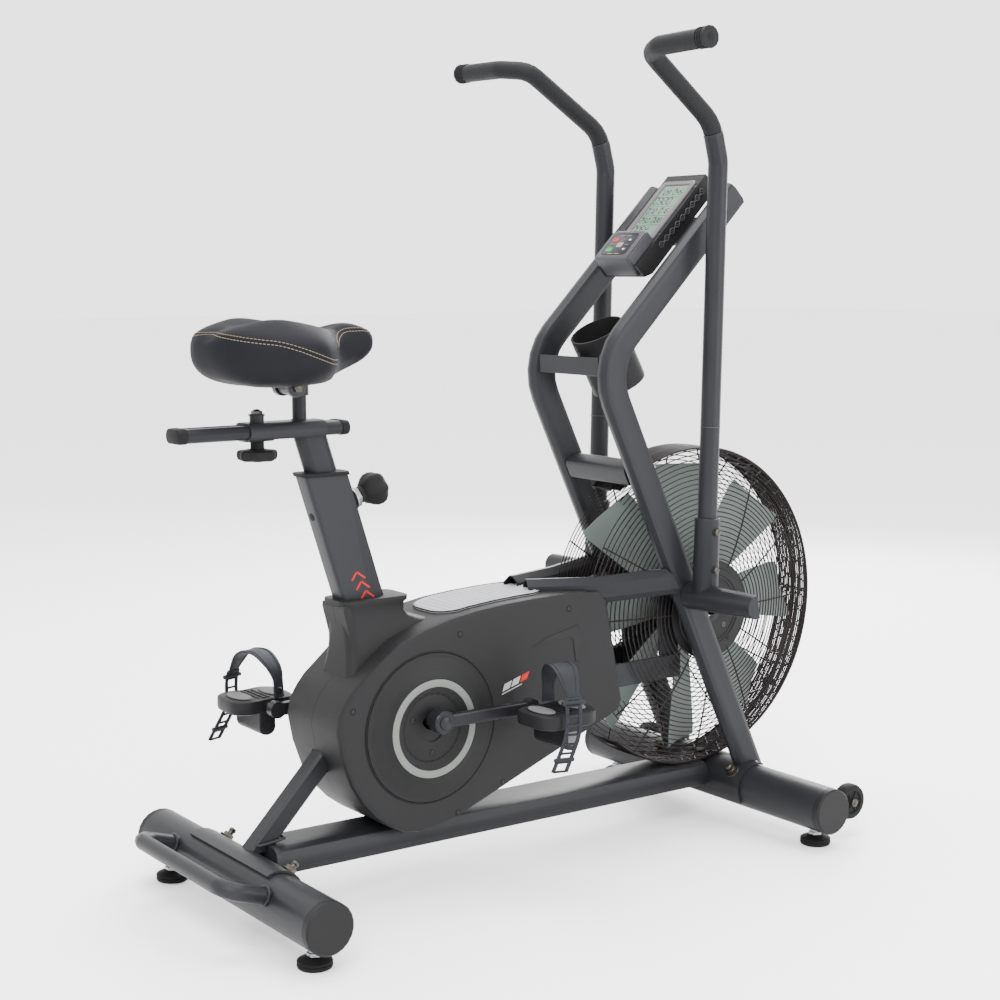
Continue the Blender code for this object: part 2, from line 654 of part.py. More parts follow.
def make_saddle():
    """The saddle and, under it, the clamp whose serrated side plates hold the saddle's two rails."""
    axis = Vector((rail_point(STEM_AT)[0] - TILT_BEHIND, 0, TILT_Z))
    add_pivot("saddle", axis, "saddle_carriage")
    bolt = rod(axis - Vector((0, 0.030, 0)), axis + Vector((0, 0.030, 0)), 0.0040, 10)
    clamp = add_solid("saddle_clamp", bolt, STEEL, "saddle")
    for side_name, side in SIDES:
        plates = [(0, 0.0145), (0.0150, 0.0145), (0.0150, 0.0235), (0.0125, 0.0255), (0, 0.0255)]
        weld(clamp, lathe(plates, axis, (0, side, 0), 14), "plate_" + side_name)
        rail = rod((axis.x - 0.060, side * 0.0195, TILT_Z + 0.0125), (axis.x + 0.050, side * 0.0195, TILT_Z + 0.0125),
                   0.0035, 8)
        weld(clamp, rail, "rail_" + side_name)
    stations = ((-0.508, 0.030, 0.836, 0.860), (-0.500, 0.057, 0.815, 0.870), (-0.482, 0.088, 0.797, 0.876),
                (-0.452, 0.113, 0.787, 0.878), (-0.410, 0.1245, 0.783, 0.877), (-0.370, 0.117, 0.783, 0.875),
                (-0.335, 0.088, 0.787, 0.874), (-0.305, 0.050, 0.799, 0.875), (-0.272, 0.036, 0.814, 0.876),
                (-0.247, 0.032, 0.824, 0.873), (-0.233, 0.023, 0.832, 0.866), (-0.228, 0.010, 0.841, 0.857))
    rings = []
    for x, half, low, high in stations:
        middle, tall = (low + high) / 2, (high - low) / 2
        ring = []
        for i in range(16):
            t = 2 * math.pi * i / 16
            wide = math.copysign(abs(math.cos(t)) ** 0.75, math.cos(t))
            up = math.copysign(abs(math.sin(t)) ** 0.75, math.sin(t))
            ring.append((x, half * wide, middle + tall * up))
        rings.append(ring)
    saddle = add_solid("saddle", loft(rings), VINYL, "saddle")
    cut(saddle, block((axis.x - 0.066, -0.032, 0.77), (axis.x + 0.056, 0.032, TILT_Z + 0.021)), "recess")


HOUSING_POINTS = ((-0.126, 0.1160), (-0.174, 0.1065), (-0.2205, 0.1085), (-0.272, 0.140), (-0.3134, 0.1941),
                  (-0.3364, 0.2765), (-0.3200, 0.3190), (-0.2891, 0.3491), (-0.2272, 0.3938), (-0.1364, 0.4210),
                  (-0.0422, 0.4320), (0.056, 0.4353), (0.150, 0.4330))


COLLAR = ((-0.2900, 0.345), (-0.1900, 0.360), (-0.2000, 0.418), (-0.2020, 0.4500), (-0.2045, 0.4570),
          (-0.3000, 0.4540), (-0.3010, 0.4470), (-0.2900, 0.405))


def housing_outline(distance):
    """The housing's outline seen from the side, counter-clockwise, moved outwards by a distance."""
    rear = smooth_outline(HOUSING_POINTS, 2)
    front = [(0.1647, 0.4220), (0.1715, 0.3847), (0.1985, 0.2500), (0.1930, 0.2370), (0.1800, 0.2310)]
    outline = rear + front
    outline.reverse()
    return grown(outline, distance)


def make_housing():
    for side_name, side in SIDES:
        rings = [(0.004, GAP / 2), (0.004, COVER_HALF - 0.008), (0.0020, COVER_HALF - 0.0028), (-0.004, COVER_HALF)]
        shell = loft([[(x, side * y, z) for x, z in housing_outline(grow)] for grow, y in rings])
        item = add_solid("housing_cover_" + side_name, shell, PLASTIC)
        weld(item, mirrored(prism(COLLAR, GAP / 2, 0.031), side), "collar")
        cavity = prism(housing_outline(-0.0005), -0.010, COVER_HALF - 0.0035)
        cut(item, mirrored(cavity, side), "cavity")
        around_cage = rod((FAN_X, -0.02 * side, FAN_Z), (FAN_X, side * (COVER_HALF - 0.0035), FAN_Z), CAGE_R + 0.003, 36)
        cut(item, around_cage, "cage")
        hole = rod((DISC_X, side * 0.06, DISC_Z), (DISC_X, side * 0.09, DISC_Z), DISC_R + 0.002, 30)
        cut(item, hole, "disc")
        cut(item, seat_tube_shape(0.001, hollow=False), "seat_tube")
        cut(item, strut(0.032), "strut")
        cut(item, side_tube(side, 0.001), "side_tube")
        cut(item, sweep(BEAM_LINE, rounded_box(BEAM_HEIGHT + 0.002, BEAM_WIDTH + 0.002, 0.017, 2)), "beam")


def make_discs():
    for side_name, side in SIDES:
        profile = [(0, 0.0740), (DISC_R, 0.0740), (DISC_R, 0.0790), (0.082, 0.0840), (0.0761, 0.0870),
                   (0.0636, 0.0870), (0.0517, 0.0790), (0, 0.0790)]
        item = add_solid("cover_disc_" + side_name, lathe(profile, (DISC_X, 0, DISC_Z), (0, side, 0), 30), DISC)
        hole = rod((CRANK_X, side * 0.06, CRANK_Z), (CRANK_X, side * 0.1, CRANK_Z), 0.0175, 16)
        cut(item, hole, "axle_hole")


def make_crank():
    add_pivot("crank", (CRANK_X, 0, CRANK_Z))
    reach = CRANK_Y + 0.004
    axle = rod((CRANK_X, -reach, CRANK_Z), (CRANK_X, reach, CRANK_Z), 0.0120, 14)
    item = add_solid("crank_axle", axle, STEEL, "crank")
    pulley = [(0, BELT_Y - 0.005), (DRIVE_R, BELT_Y - 0.005), (DRIVE_R, BELT_Y + 0.005), (0, BELT_Y + 0.005)]
    weld(item, lathe(pulley, (CRANK_X, 0, CRANK_Z), (0, 1, 0), 24), "pulley")
    for side_name, side in SIDES:
        disc = [(0, 0.0450), (0.036, 0.0450), (0.036, 0.0480), (0, 0.0480)]
        weld(item, lathe(disc, (CRANK_X, 0, CRANK_Z), (0, side, 0), 12), "throw_" + side_name)
        across = side * 0.0508
        weld(item, rod((CRANK_X, side * 0.047, CRANK_Z + side * 0.026), (CRANK_X, across, CRANK_Z + side * 0.026),
                       0.006, 8), "throw_pin_" + side_name)
        make_crank_arm(side_name, side)


def make_crank_arm(side_name, side):
    facing = -side
    tip = CRANK_X + facing * CRANK_LENGTH
    arm = sweep([(CRANK_X, side * CRANK_Y, CRANK_Z), (tip, side * (CRANK_Y + 0.004), CRANK_Z)],
                rounded_box(0.021, 0.013, 0.004, 2), side=(0, 1, 0))
    item = add_solid("crank_arm_" + side_name, arm, STEEL, "crank")
    boss = [(0, -0.016), (0.0165, -0.016), (0.018, -0.010), (0.018, 0.008), (0.016, 0.010), (0, 0.010)]
    weld(item, lathe(boss, (CRANK_X, side * CRANK_Y, CRANK_Z), (0, side, 0), 14), "boss")
    eye = [(0, -0.0075), (0.0135, -0.0075), (0.0135, 0.0075), (0, 0.0075)]
    weld(item, lathe(eye, (tip, side * (CRANK_Y + 0.004), CRANK_Z), (0, side, 0), 12), "eye")
    spindle = rod((tip, side * CRANK_Y, CRANK_Z), (tip, side * (PEDAL_Y + 0.040), CRANK_Z), 0.006, 10)
    weld(item, spindle, "spindle")
    cut(item, rod((CRANK_X, side * 0.08, CRANK_Z), (CRANK_X, side * (CRANK_Y + 0.0046), CRANK_Z), 0.0125, 14), "bore")


def make_pedals():
    for side_name, side in SIDES:
        x = CRANK_X - side * CRANK_LENGTH
        pivot = "pedal_" + side_name
        add_pivot(pivot, (x, side * PEDAL_Y, CRANK_Z), "crank")
        plate = rounded_box(0.100, 0.100, 0.026, 2)
        rings = [[(x + a, side * PEDAL_Y + b, CRANK_Z + h) for a, b in [(p * s, q * s) for p, q in plate]]
                 for h, s in ((-0.011, 0.94), (-0.006, 1), (0.006, 1), (0.011, 0.95))]
        item = add_solid("pedal_" + side_name, loft(rings), PEDAL, pivot)
        low = [(-0.0140, -0.008), (-0.0140, -0.036), (-0.0090, -0.0445), (0, -0.0470), (0.0090, -0.0445),
               (0.0140, -0.036), (0.0140, -0.008)]
        weight = prism([(x + a, CRANK_Z + b) for a, b in low], side * (PEDAL_Y - 0.040), side * (PEDAL_Y + 0.038))
        weld(item, weight, "weight")
        bore = rod((x, side * (PEDAL_Y - 0.06), CRANK_Z), (x, side * (PEDAL_Y + 0.0405), CRANK_Z), 0.0064, 12)
        cut(item, bore, "spindle_hole")
        add_solid("pedal_strap_" + side_name, pedal_strap(x, side), RUBBER, pivot)


def pedal_strap(x, side):
    """A strap from the pedal's inner edge over the foot to its outer edge, its free end hanging below."""
    inner = Vector((x + 0.018, side * (PEDAL_Y - 0.044), CRANK_Z))
    outer = Vector((x - 0.012, side * (PEDAL_Y + 0.0565), CRANK_Z))
    over = outer - inner
    up = Vector((0, 0, 1))
    path = bend([inner + up * 0.0115, inner + over * 0.02 + up * 0.052, inner + over * 0.34 + up * 0.081,
                 inner + over * 0.72 + up * 0.078, outer + up * 0.034, outer - up * 0.016,
                 outer + Vector((-0.030, side * 0.004, -0.068))], 0.018, 3)
    across = over.cross(up)
    return sweep(path, rectangle(0.0026, 0.026), side=across)


def make_belt():
    """A flat belt round both pulleys, one closed band."""
    centres = (Vector((CRANK_X, CRANK_Z)), Vector((FAN_X, FAN_Z)))
    radii = (DRIVE_R, DRIVEN_R)
    span = centres[1] - centres[0]
    spread = math.acos((radii[0] - radii[1]) / span.length)
    base = math.atan2(span.y, span.x)
    outlines = []
    for extra in (GAP + 0.003, GAP):
        points = []
        for i in range(21):
            t = base + spread + (2 * math.pi - 2 * spread) * i / 20
            points.append(centres[0] + Vector((math.cos(t), math.sin(t))) * (radii[0] + extra) * 1.003)
        for i in range(9):
            t = base - spread + 2 * spread * i / 8
            points.append(centres[1] + Vector((math.cos(t), math.sin(t))) * (radii[1] + extra) * 1.006)
        outlines.append(points)
    vertices, faces = [], []
    count = len(outlines[0])
    for outline in outlines:
        for y in (BELT_Y - 0.0045, BELT_Y + 0.0045):
            vertices += [(p.x, y, p.y) for p in outline]
    for j in range(count):
        k = (j + 1) % count
        faces += [(j, k, count + k, count + j), (2 * count + j, 2 * count + k, 3 * count + k, 3 * count + j),
                  (j, k, 2 * count + k, 2 * count + j), (count + j, count + k, 3 * count + k, 3 * count + j)]
    add_solid("drive_belt", (vertices, faces), RUBBER)


def make_fan():
    axle = rod((FAN_X, -CAGE_HALF, FAN_Z), (FAN_X, CAGE_HALF, FAN_Z), FAN_AXLE_R, 20)
    add_solid("fan_axle", axle, STEEL)
    add_pivot("fan", (FAN_X, 0, FAN_Z))
    pulley = BELT_Y + 0.005
    hub = [(FAN_AXLE_R + 0.0006, -0.030), (0.045, -0.030), (0.045, 0.0285), (DRIVEN_R, 0.0285), (DRIVEN_R, pulley),
           (FAN_AXLE_R + 0.0006, pulley)]
    item = add_solid("fan_wheel", lathe(hub, (FAN_X, 0, FAN_Z), (0, 1, 0), 24, ring=True), BLADE, "fan")
    for i in range(BLADE_COUNT):
        turn = Matrix.Translation((FAN_X, 0, FAN_Z)) @ Matrix.Rotation(2 * math.pi * i / BLADE_COUNT, 4, "Y")
        pitch = Matrix.Rotation(BLADE_PITCH, 4, "Z")
        rings = []
        for radius, half in ((0.041, 0.016), (0.075, 0.026), (0.243, 0.054)):
            rings.append([(-0.0011, -half, radius), (0.0011, -half, radius), (0.0011, half, radius),
                          (-0.0011, half, radius)])
        weld(item, moved(loft(rings), turn @ pitch), "blade_" + str(i))


def cage_height(radius):
    """How far the cage's face stands from the middle plane at a radius."""
    if radius <= CAGE_HUB_R:
        return CAGE_HALF
    share = (radius - CAGE_HUB_R) / (CAGE_R - CAGE_HUB_R)
    return RIM_HALF + (CAGE_HALF - RIM_HALF) * (1 - share ** 1.6)


CAGE_CELLS = 30
CAGE_SPOKE_EVERY = 3
OPEN_CELLS = range(13, 19)      # the cage is open here, at the housing, for the belt and the push rods
CAGE_EDGES = (0.0106, CAGE_HUB_R, 0.142, 0.147, 0.205, 0.210, 0.2690, 0.2740)
SPOKE_HALF = 0.0022


def cage_filled(row, cell):
    """Whether a cell between two of the cage's edges holds wire."""
    if row % 2 == 0:
        return row <= 2 or cell not in OPEN_CELLS
    return cell % CAGE_SPOKE_EVERY == 0 and (row <= 1 or cell not in OPEN_CELLS)


def cage_corner(index, cell, side, back):
    """A corner of the cage's grid. Cells that hold a spoke are pinched to the spoke's width."""
    radius = CAGE_EDGES[index]
    t = 2 * math.pi * cell / CAGE_CELLS
    place = cell % CAGE_SPOKE_EVERY
    if index and place == 0:
        t += math.pi / CAGE_CELLS - SPOKE_HALF / radius
    if index and place == 1:
        t += SPOKE_HALF / radius - math.pi / CAGE_CELLS
    y = cage_height(radius) - (0.003 if back else 0.0)
    return (FAN_X + radius * math.cos(t), side * y, FAN_Z + radius * math.sin(t))


def cage_face(side):
    """Hub disc, rings and spokes of one half of the cage, as one plate with windows."""
    vertices, faces, known = [], [], {}
    rows = len(CAGE_EDGES) - 1

    def vertex(index, cell, back):
        key = (index, cell % CAGE_CELLS, back)
        if key not in known:
            known[key] = len(vertices)
            vertices.append(cage_corner(index, cell % CAGE_CELLS, side, back))
        return known[key]

    for row in range(rows):
        for cell in range(CAGE_CELLS):
            if not cage_filled(row, cell):
                continue
            for back in (False, True):
                faces.append([vertex(row, cell, back), vertex(row, cell + 1, back),
                              vertex(row + 1, cell + 1, back), vertex(row + 1, cell, back)])
            walls = ((row, cell, row, cell + 1, row > 0 and cage_filled(row - 1, cell)),
                     (row + 1, cell, row + 1, cell + 1, row < rows - 1 and cage_filled(row + 1, cell)),
                     (row, cell, row + 1, cell, cage_filled(row, (cell - 1) % CAGE_CELLS)),
                     (row, cell + 1, row + 1, cell + 1, cage_filled(row, (cell + 1) % CAGE_CELLS)))
            for a, b, c, d, joined in walls:
                if not joined:
                    faces.append([vertex(a, b, False), vertex(c, d, False), vertex(c, d, True),
                                  vertex(a, b, True)])
    return vertices, faces


def make_cage():
    for side_name, side in SIDES:
        item = add_solid("fan_guard_" + side_name, cage_face(side), WIRE)
        first = OPEN_CELLS[-1] + 1
        last = OPEN_CELLS[0] + CAGE_CELLS
        middle = side * (RIM_HALF + GAP / 2) / 2
        path = []
        for cell in range(first, last + 1):
            t = 2 * math.pi * cell / CAGE_CELLS
            path.append((FAN_X + 0.2720 * math.cos(t), middle, FAN_Z + 0.2720 * math.sin(t)))
        rim = sweep(path, rectangle(0.004, RIM_HALF - GAP), side=(0, 1, 0))
        weld(item, rim, "rim")
        hole = rod((PIVOT_X, side * 0.05, PIVOT_Z), (PIVOT_X, side * 0.09, PIVOT_Z), SHAFT_R + 0.003, 14)
        cut(item, hole, "shaft_hole")


def arm_points(side):
    """The centre line of one swinging arm, from inside its socket to the end of its grip."""
    points = ((0.3245, ARM_Y, 0.462), (0.338, ARM_Y, 1.120), (0.322, ARM_Y, 1.180), (0.182, ARM_Y + 0.014, 1.276),
              (0.157, 0.200, 1.281), (0.1565, 0.3095, 1.283))
    return [Vector((x, side * y, z)) for x, y, z in points]


SEAM_Z = 1.164


def arm_path(side):
    corners = arm_points(side)
    low = bend(corners[:4], 0.060, 3)
    return low[:-1] + bend([low[-2]] + corners[3:], 0.030, 3)[1:]


def make_arms():
    for side_name, side in SIDES:
        pivot = "arm_" + side_name
        add_pivot(pivot, (PIVOT_X, side * ARM_Y, PIVOT_Z))
        path = arm_path(side)
        seam = next(i for i, p in enumerate(path) if p.z > SEAM_Z)
        share = (SEAM_Z - path[seam - 1].z) / (path[seam].z - path[seam - 1].z)
        joint = path[seam - 1].lerp(path[seam], share)
        step = (path[seam] - path[seam - 1]).normalized() * 0.0005
        tube = sweep(path[:seam] + [joint], circle(ARM_R, 12), circle(ARM_R - TUBE_WALL, 12))
        item = add_solid("arm_tube_" + side_name, tube, PAINT, pivot)
        core = [joint - step * 30] + path[seam:-1] + [path[-1].lerp(path[-2], 0.06)]
        weld(item, sweep(core, circle(0.0120, 12)), "core")
        plug = sweep([joint - step * 20, joint], circle(ARM_R - 0.0005, 12))
        weld(item, plug, "plug")
        sleeve = [joint + step] + path[seam:]
        grip = sweep(sleeve, circle(0.0152, 12), circle(0.0127, 12))
        item = add_solid("arm_grip_" + side_name, grip, GRIP, pivot)
        end = path[-1]
        outward = (path[-1] - path[-2]).normalized()
        weld(item, rod(end - outward * 0.0015, end + outward * 0.004, 0.0167, 12), "end_cap")
        make_arm_bracket(side_name, side, pivot)


def make_arm_bracket(side_name, side, pivot):
    """The arm's socket, its pivot sleeve and shaft, and the lever on the shaft's inner end."""
    inner = MAST_Y + MAST_THICK / 2 + GAP * 2
    outer = 0.262
    sleeve = loft([[(PIVOT_X + a * k, side * y, PIVOT_Z + c + b * k) for a, b in circle(0.0228, 16)]
                   for y, k, c in ((inner, 1.0, 0.0), (outer, 0.84, 0.003))])
    item = add_solid("arm_bracket_" + side_name, sleeve, PAINT, pivot)
    mouth = rod((PIVOT_X + 0.052, side * (outer + 0.016), PIVOT_Z - 0.05),
                (PIVOT_X + 0.030, side * (outer + 0.016), PIVOT_Z + 0.05), 0.040, 14)
    cut(item, mouth, "mouth")
    lean = (arm_points(side)[1] - arm_points(side)[0]).normalized()
    foot = arm_points(side)[0] - lean * 0.045
    head = arm_points(side)[0] + lean * 0.084
    weld(item, rod(foot, head, 0.0213, 16), "socket")
    cut(item, rod(arm_points(side)[0] - lean * 0.0004, head + lean * 0.01, clear(ARM_R, 12), 12), "socket_bore")
    shaft_end = LEVER_Y - LEVER_THICK / 2
    shaft = rod((PIVOT_X, side * (inner + 0.004), PIVOT_Z), (PIVOT_X, side * shaft_end, PIVOT_Z), SHAFT_R, 12)
    weld(item, shaft, "shaft")
    high = side * (LEVER_Y + LEVER_THICK / 2)
    lever_head = (PIVOT_X - 0.001, side * LEVER_Y, PIVOT_Z + 0.016)
    lever_foot = (LEVER_PIN[0], side * LEVER_Y, LEVER_PIN[1] - 0.018)
    lever = sweep([lever_head, lever_foot], rounded_box(0.042, LEVER_THICK, 0.001, 1))
    weld(item, lever, "lever")
    pin = rod((LEVER_PIN[0], high - side * 0.002, LEVER_PIN[1]),
              (LEVER_PIN[0], side * (ROD_Y + 0.0030), LEVER_PIN[1]), 0.005, 12)
    weld(item, pin, "lever_pin")


def make_push_rods():
    for side_name, side in SIDES:
        pivot = "push_rod_" + side_name
        add_pivot(pivot, (LEVER_PIN[0], side * ROD_Y, LEVER_PIN[1]), "arm_" + side_name)
        rear = (CRANK_X + 0.044, side * ROD_Y, 0.282)
        front = (LEVER_PIN[0] + 0.018, side * ROD_Y, LEVER_PIN[1])
        bar = sweep([rear, front], rounded_box(0.040, ROD_THICK, 0.001, 1))
        item = add_solid(pivot, bar, PAINT, pivot)
        hole = rod((LEVER_PIN[0], side * (ROD_Y - 0.01), LEVER_PIN[1]),
                   (LEVER_PIN[0], side * (ROD_Y + 0.01), LEVER_PIN[1]), 0.0056, 16)
        cut(item, hole, "pin_hole")


def console_frame():
    """The console's own axes: X along its face (uphill), Y across, Z out of the face."""
    place = Matrix.Translation((CONSOLE_FOOT[0], 0, CONSOLE_FOOT[1]))
    return place @ Matrix.Rotation(-CONSOLE_SLOPE, 4, "Y")


CONSOLE_LENGTH = 0.214
CONSOLE_DEEP = 0.031
KEYPAD_HEIGHT = 0.0505
KEY_TRAVEL = 0.0012


def make_console():
    frame = console_frame()
    outline = ((0.0, 0.006, 0.050), (0.014, 0.0, 0.0535), (0.195, 0.0, 0.0505), (CONSOLE_LENGTH, 0.012, 0.0475),
               (CONSOLE_LENGTH, CONSOLE_DEEP, 0.0475), (0.0, CONSOLE_DEEP, 0.050))
    body = loft([[(a, share * half, b) for a, b, half in outline] for share in (-1, 1)])
    item = add_solid("console_housing", moved(body, frame), PLASTIC)
    pad = [(-0.002, CONSOLE_DEEP - 0.020), (0.062, CONSOLE_DEEP - 0.020), (0.056, KEYPAD_HEIGHT), (0.002, KEYPAD_HEIGHT)]
    weld(item, moved(prism(pad, -0.0415, 0.0415), frame), "keypad")
    screen = block((0.068, -0.0305, CONSOLE_DEEP + GAP), (0.187, 0.0305, CONSOLE_DEEP + 0.0016))
    add_solid("console_screen", moved(screen, frame), SCREEN)
    make_keys(item, frame)
    reach = MAST_Y - MAST_THICK / 2 - GAP
    add_solid("console_bracket", moved(block((0.085, -reach, -0.0070), (0.145, reach, -GAP)), frame), PAINT)


def make_keys(console, frame):
    keys = (("red", 0.040, 0.018, 0.015, 0.009, KEY_RED), ("green", 0.018, 0.018, 0.015, 0.009, KEY_GREEN),
            ("up", 0.040, -0.018, 0.015, 0.009, KEY_WHITE), ("down", 0.018, -0.018, 0.015, 0.009, KEY_WHITE),
            ("centre", 0.029, 0.0, 0.014, 0.011, KEY_SILVER))
    for name, along, across, wide, tall, finish in keys:
        place = frame @ Vector((along, across, KEYPAD_HEIGHT))
        add_pivot("key_" + name, place)
        rings = [[(along + a * k, across + b * k, KEYPAD_HEIGHT + h) for a, b in rounded_box(tall, wide, 0.002, 2)]
                 for h, k in ((-0.0018, 1), (0.0006, 1), (0.0012, 0.88))]
        add_solid("key_" + name, moved(loft(rings), frame), finish, "key_" + name)
        pocket = [[(along + a, across + b, KEYPAD_HEIGHT + h) for a, b in rounded_box(tall + 0.0008, wide + 0.0008, 0.0024, 2)]
                  for h in (-0.0018 - KEY_TRAVEL - GAP, 0.002)]
        cut(console, moved(loft(pocket), frame), "pocket_" + name)


def make_bottle_cage():
    """A cup that leans back, held ahead of the upper crossbar by a short arm."""
    base = Vector((0.254, 0, 0.762))
    lean = (Vector((0.205, 0, 0.850)) - base).normalized()
    profile = [(0.0, 0.0), (0.0455, 0.0), (0.0455, 0.102), (0.0425, 0.102), (0.0425, 0.003), (0.0, 0.003)]
    item = add_solid("bottle_cage", lathe(profile, base, lean, 24), PLASTIC)
    arm = sweep([(0.1524, 0, 0.796), (0.200, 0, 0.797)], rounded_box(0.022, 0.030, 0.003, 1))
    weld(item, arm, "arm")
    cut(item, rod(base - lean * 0.01, base + lean * 0.02, 0.026, 16), "base_hole")
    cut(item, rod(base + lean * 0.001, base + lean * 0.12, 0.0425, 24), "inside")


def main():
    clear_scene()
    add_pivot("bike", (ORIGIN_X, 0, 0), None)
    PIVOTS["bike"] = (PIVOTS["bike"][0], Vector((ORIGIN_X, 0, 0)))
    make_base()
    make_wheels()
    make_feet()
    make_beam()
    make_masts()
    make_crossbars()
    make_side_tubes()
    make_seat_tube()
    make_pop_pin()
    make_seat_post()
    make_carriage()
    make_clamp_knob()
    make_saddle()
    make_housing()
    make_discs()
    make_crank()
    make_pedals()
    make_belt()
    make_fan()
    make_cage()
    make_arms()
    make_push_rods()
    make_console()
    make_bottle_cage()


main()
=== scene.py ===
"""Air bike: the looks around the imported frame. Lengths are in metres, +X forwards, +Y to the rider's left."""

import bmesh
import bpy
import json
import math
from mathutils import Matrix, Vector
from mathutils.bvhtree import BVHTree


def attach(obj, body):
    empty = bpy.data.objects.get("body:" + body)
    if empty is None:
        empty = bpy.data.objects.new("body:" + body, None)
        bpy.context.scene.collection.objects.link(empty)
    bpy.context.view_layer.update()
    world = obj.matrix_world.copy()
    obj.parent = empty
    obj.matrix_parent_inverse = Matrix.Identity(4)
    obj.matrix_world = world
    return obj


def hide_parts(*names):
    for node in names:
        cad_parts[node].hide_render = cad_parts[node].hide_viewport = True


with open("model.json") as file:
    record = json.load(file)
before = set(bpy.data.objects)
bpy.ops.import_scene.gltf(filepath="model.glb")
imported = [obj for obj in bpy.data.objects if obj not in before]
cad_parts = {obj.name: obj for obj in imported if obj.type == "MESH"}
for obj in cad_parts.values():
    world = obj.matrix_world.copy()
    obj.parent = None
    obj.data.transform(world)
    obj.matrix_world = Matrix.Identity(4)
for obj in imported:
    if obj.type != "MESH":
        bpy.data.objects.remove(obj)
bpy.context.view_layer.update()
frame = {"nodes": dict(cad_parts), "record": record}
NODES = frame["nodes"]
BODIES = frame["record"]["behaviour"]["bodies"]
BODY_OF = {node: body for body, members in BODIES.items() for node in members}
SLOT_OF = {entry["node"]: entry["material_slot"] for entry in frame["record"]["subparts"]}
SIDES = (("right", -1), ("left", 1))

FAN = Vector((0.349, 0, 0.3765))
CAGE_R, HUB_R, CAGE_HALF, RIM_HALF = 0.2745, 0.084, 0.0755, 0.036
CRANK = Vector((-0.226, 0, 0.276))
DISC = Vector((-0.227, 0, 0.2616))
PEDAL_Y, CRANK_LENGTH = 0.176, 0.163
Y_AXIS, UP = Vector((0, 1, 0)), Vector((0, 0, 1))


# ------------ materials

def surface(name, colour, roughness, metallic, mottle, rough_spread, grain,
            grain_type="NOISE", depth=0.0004, specular=0.11, coat=0.0, wear=0.0):
    """A Principled material with slow colour and roughness variation, a fine bump and lighter worn edges.

    mottle and grain are each (scale, strength)."""
    made = bpy.data.materials.new(name)
    made.use_nodes = True
    nodes, link = made.node_tree.nodes, made.node_tree.links.new

    def adjust(node, **values):
        for key, value in values.items():
            node.inputs[key.replace("_", " ")].default_value = value
        return node

    def new(kind, **values):
        node = nodes.new("ShaderNode" + kind)
        if kind == "Mix":
            node.data_type = "RGBA"
        return adjust(node, **values)

    shader = adjust(nodes["Principled BSDF"], Metallic=metallic, Specular_IOR_Level=specular,
                    Coat_Weight=coat, Coat_Roughness=0.25)
    where = new("TexCoord").outputs["Object"]
    slow = new("TexNoise", Scale=mottle[0], Detail=5)
    link(where, slow.inputs["Vector"])
    dark = [c * (1 - mottle[1]) for c in colour]
    light = [min(1.0, c * (1 + mottle[1]) + 0.002) for c in colour]
    tone = new("Mix", A=(*dark, 1), B=(*light, 1))
    link(slow.outputs["Fac"], tone.inputs["Factor"])
    if wear:
        pointiness = new("NewGeometry").outputs["Pointiness"]
        edge = new("MapRange", From_Min=0.53, From_Max=0.62, To_Max=wear)
        link(pointiness, edge.inputs["Value"])
        worn = new("Mix", B=(*[min(1.0, c * 2.2 + 0.03) for c in colour], 1))
        link(edge.outputs["Result"], worn.inputs["Factor"])
        link(tone.outputs["Result"], worn.inputs["A"])
        tone = worn
    link(tone.outputs["Result"], shader.inputs["Base Color"])
    spread = new("MapRange", To_Min=max(0.02, roughness - rough_spread),
                 To_Max=min(1.0, roughness + rough_spread))
    link(slow.outputs["Fac"], spread.inputs["Value"])
    link(spread.outputs["Result"], shader.inputs["Roughness"])
    if grain[1]:
        if grain_type == "VORONOI":
            fine = new("TexVoronoi", Scale=grain[0])
            height = fine.outputs["Distance"]
        else:
            fine = new("TexNoise", Detail=3, Scale=grain[0])
            height = fine.outputs["Fac"]
        link(where, fine.inputs["Vector"])
        bump = new("Bump", Strength=grain[1], Distance=depth)
        link(height, bump.inputs["Height"])
        link(bump.outputs["Normal"], shader.inputs["Normal"])
    return made


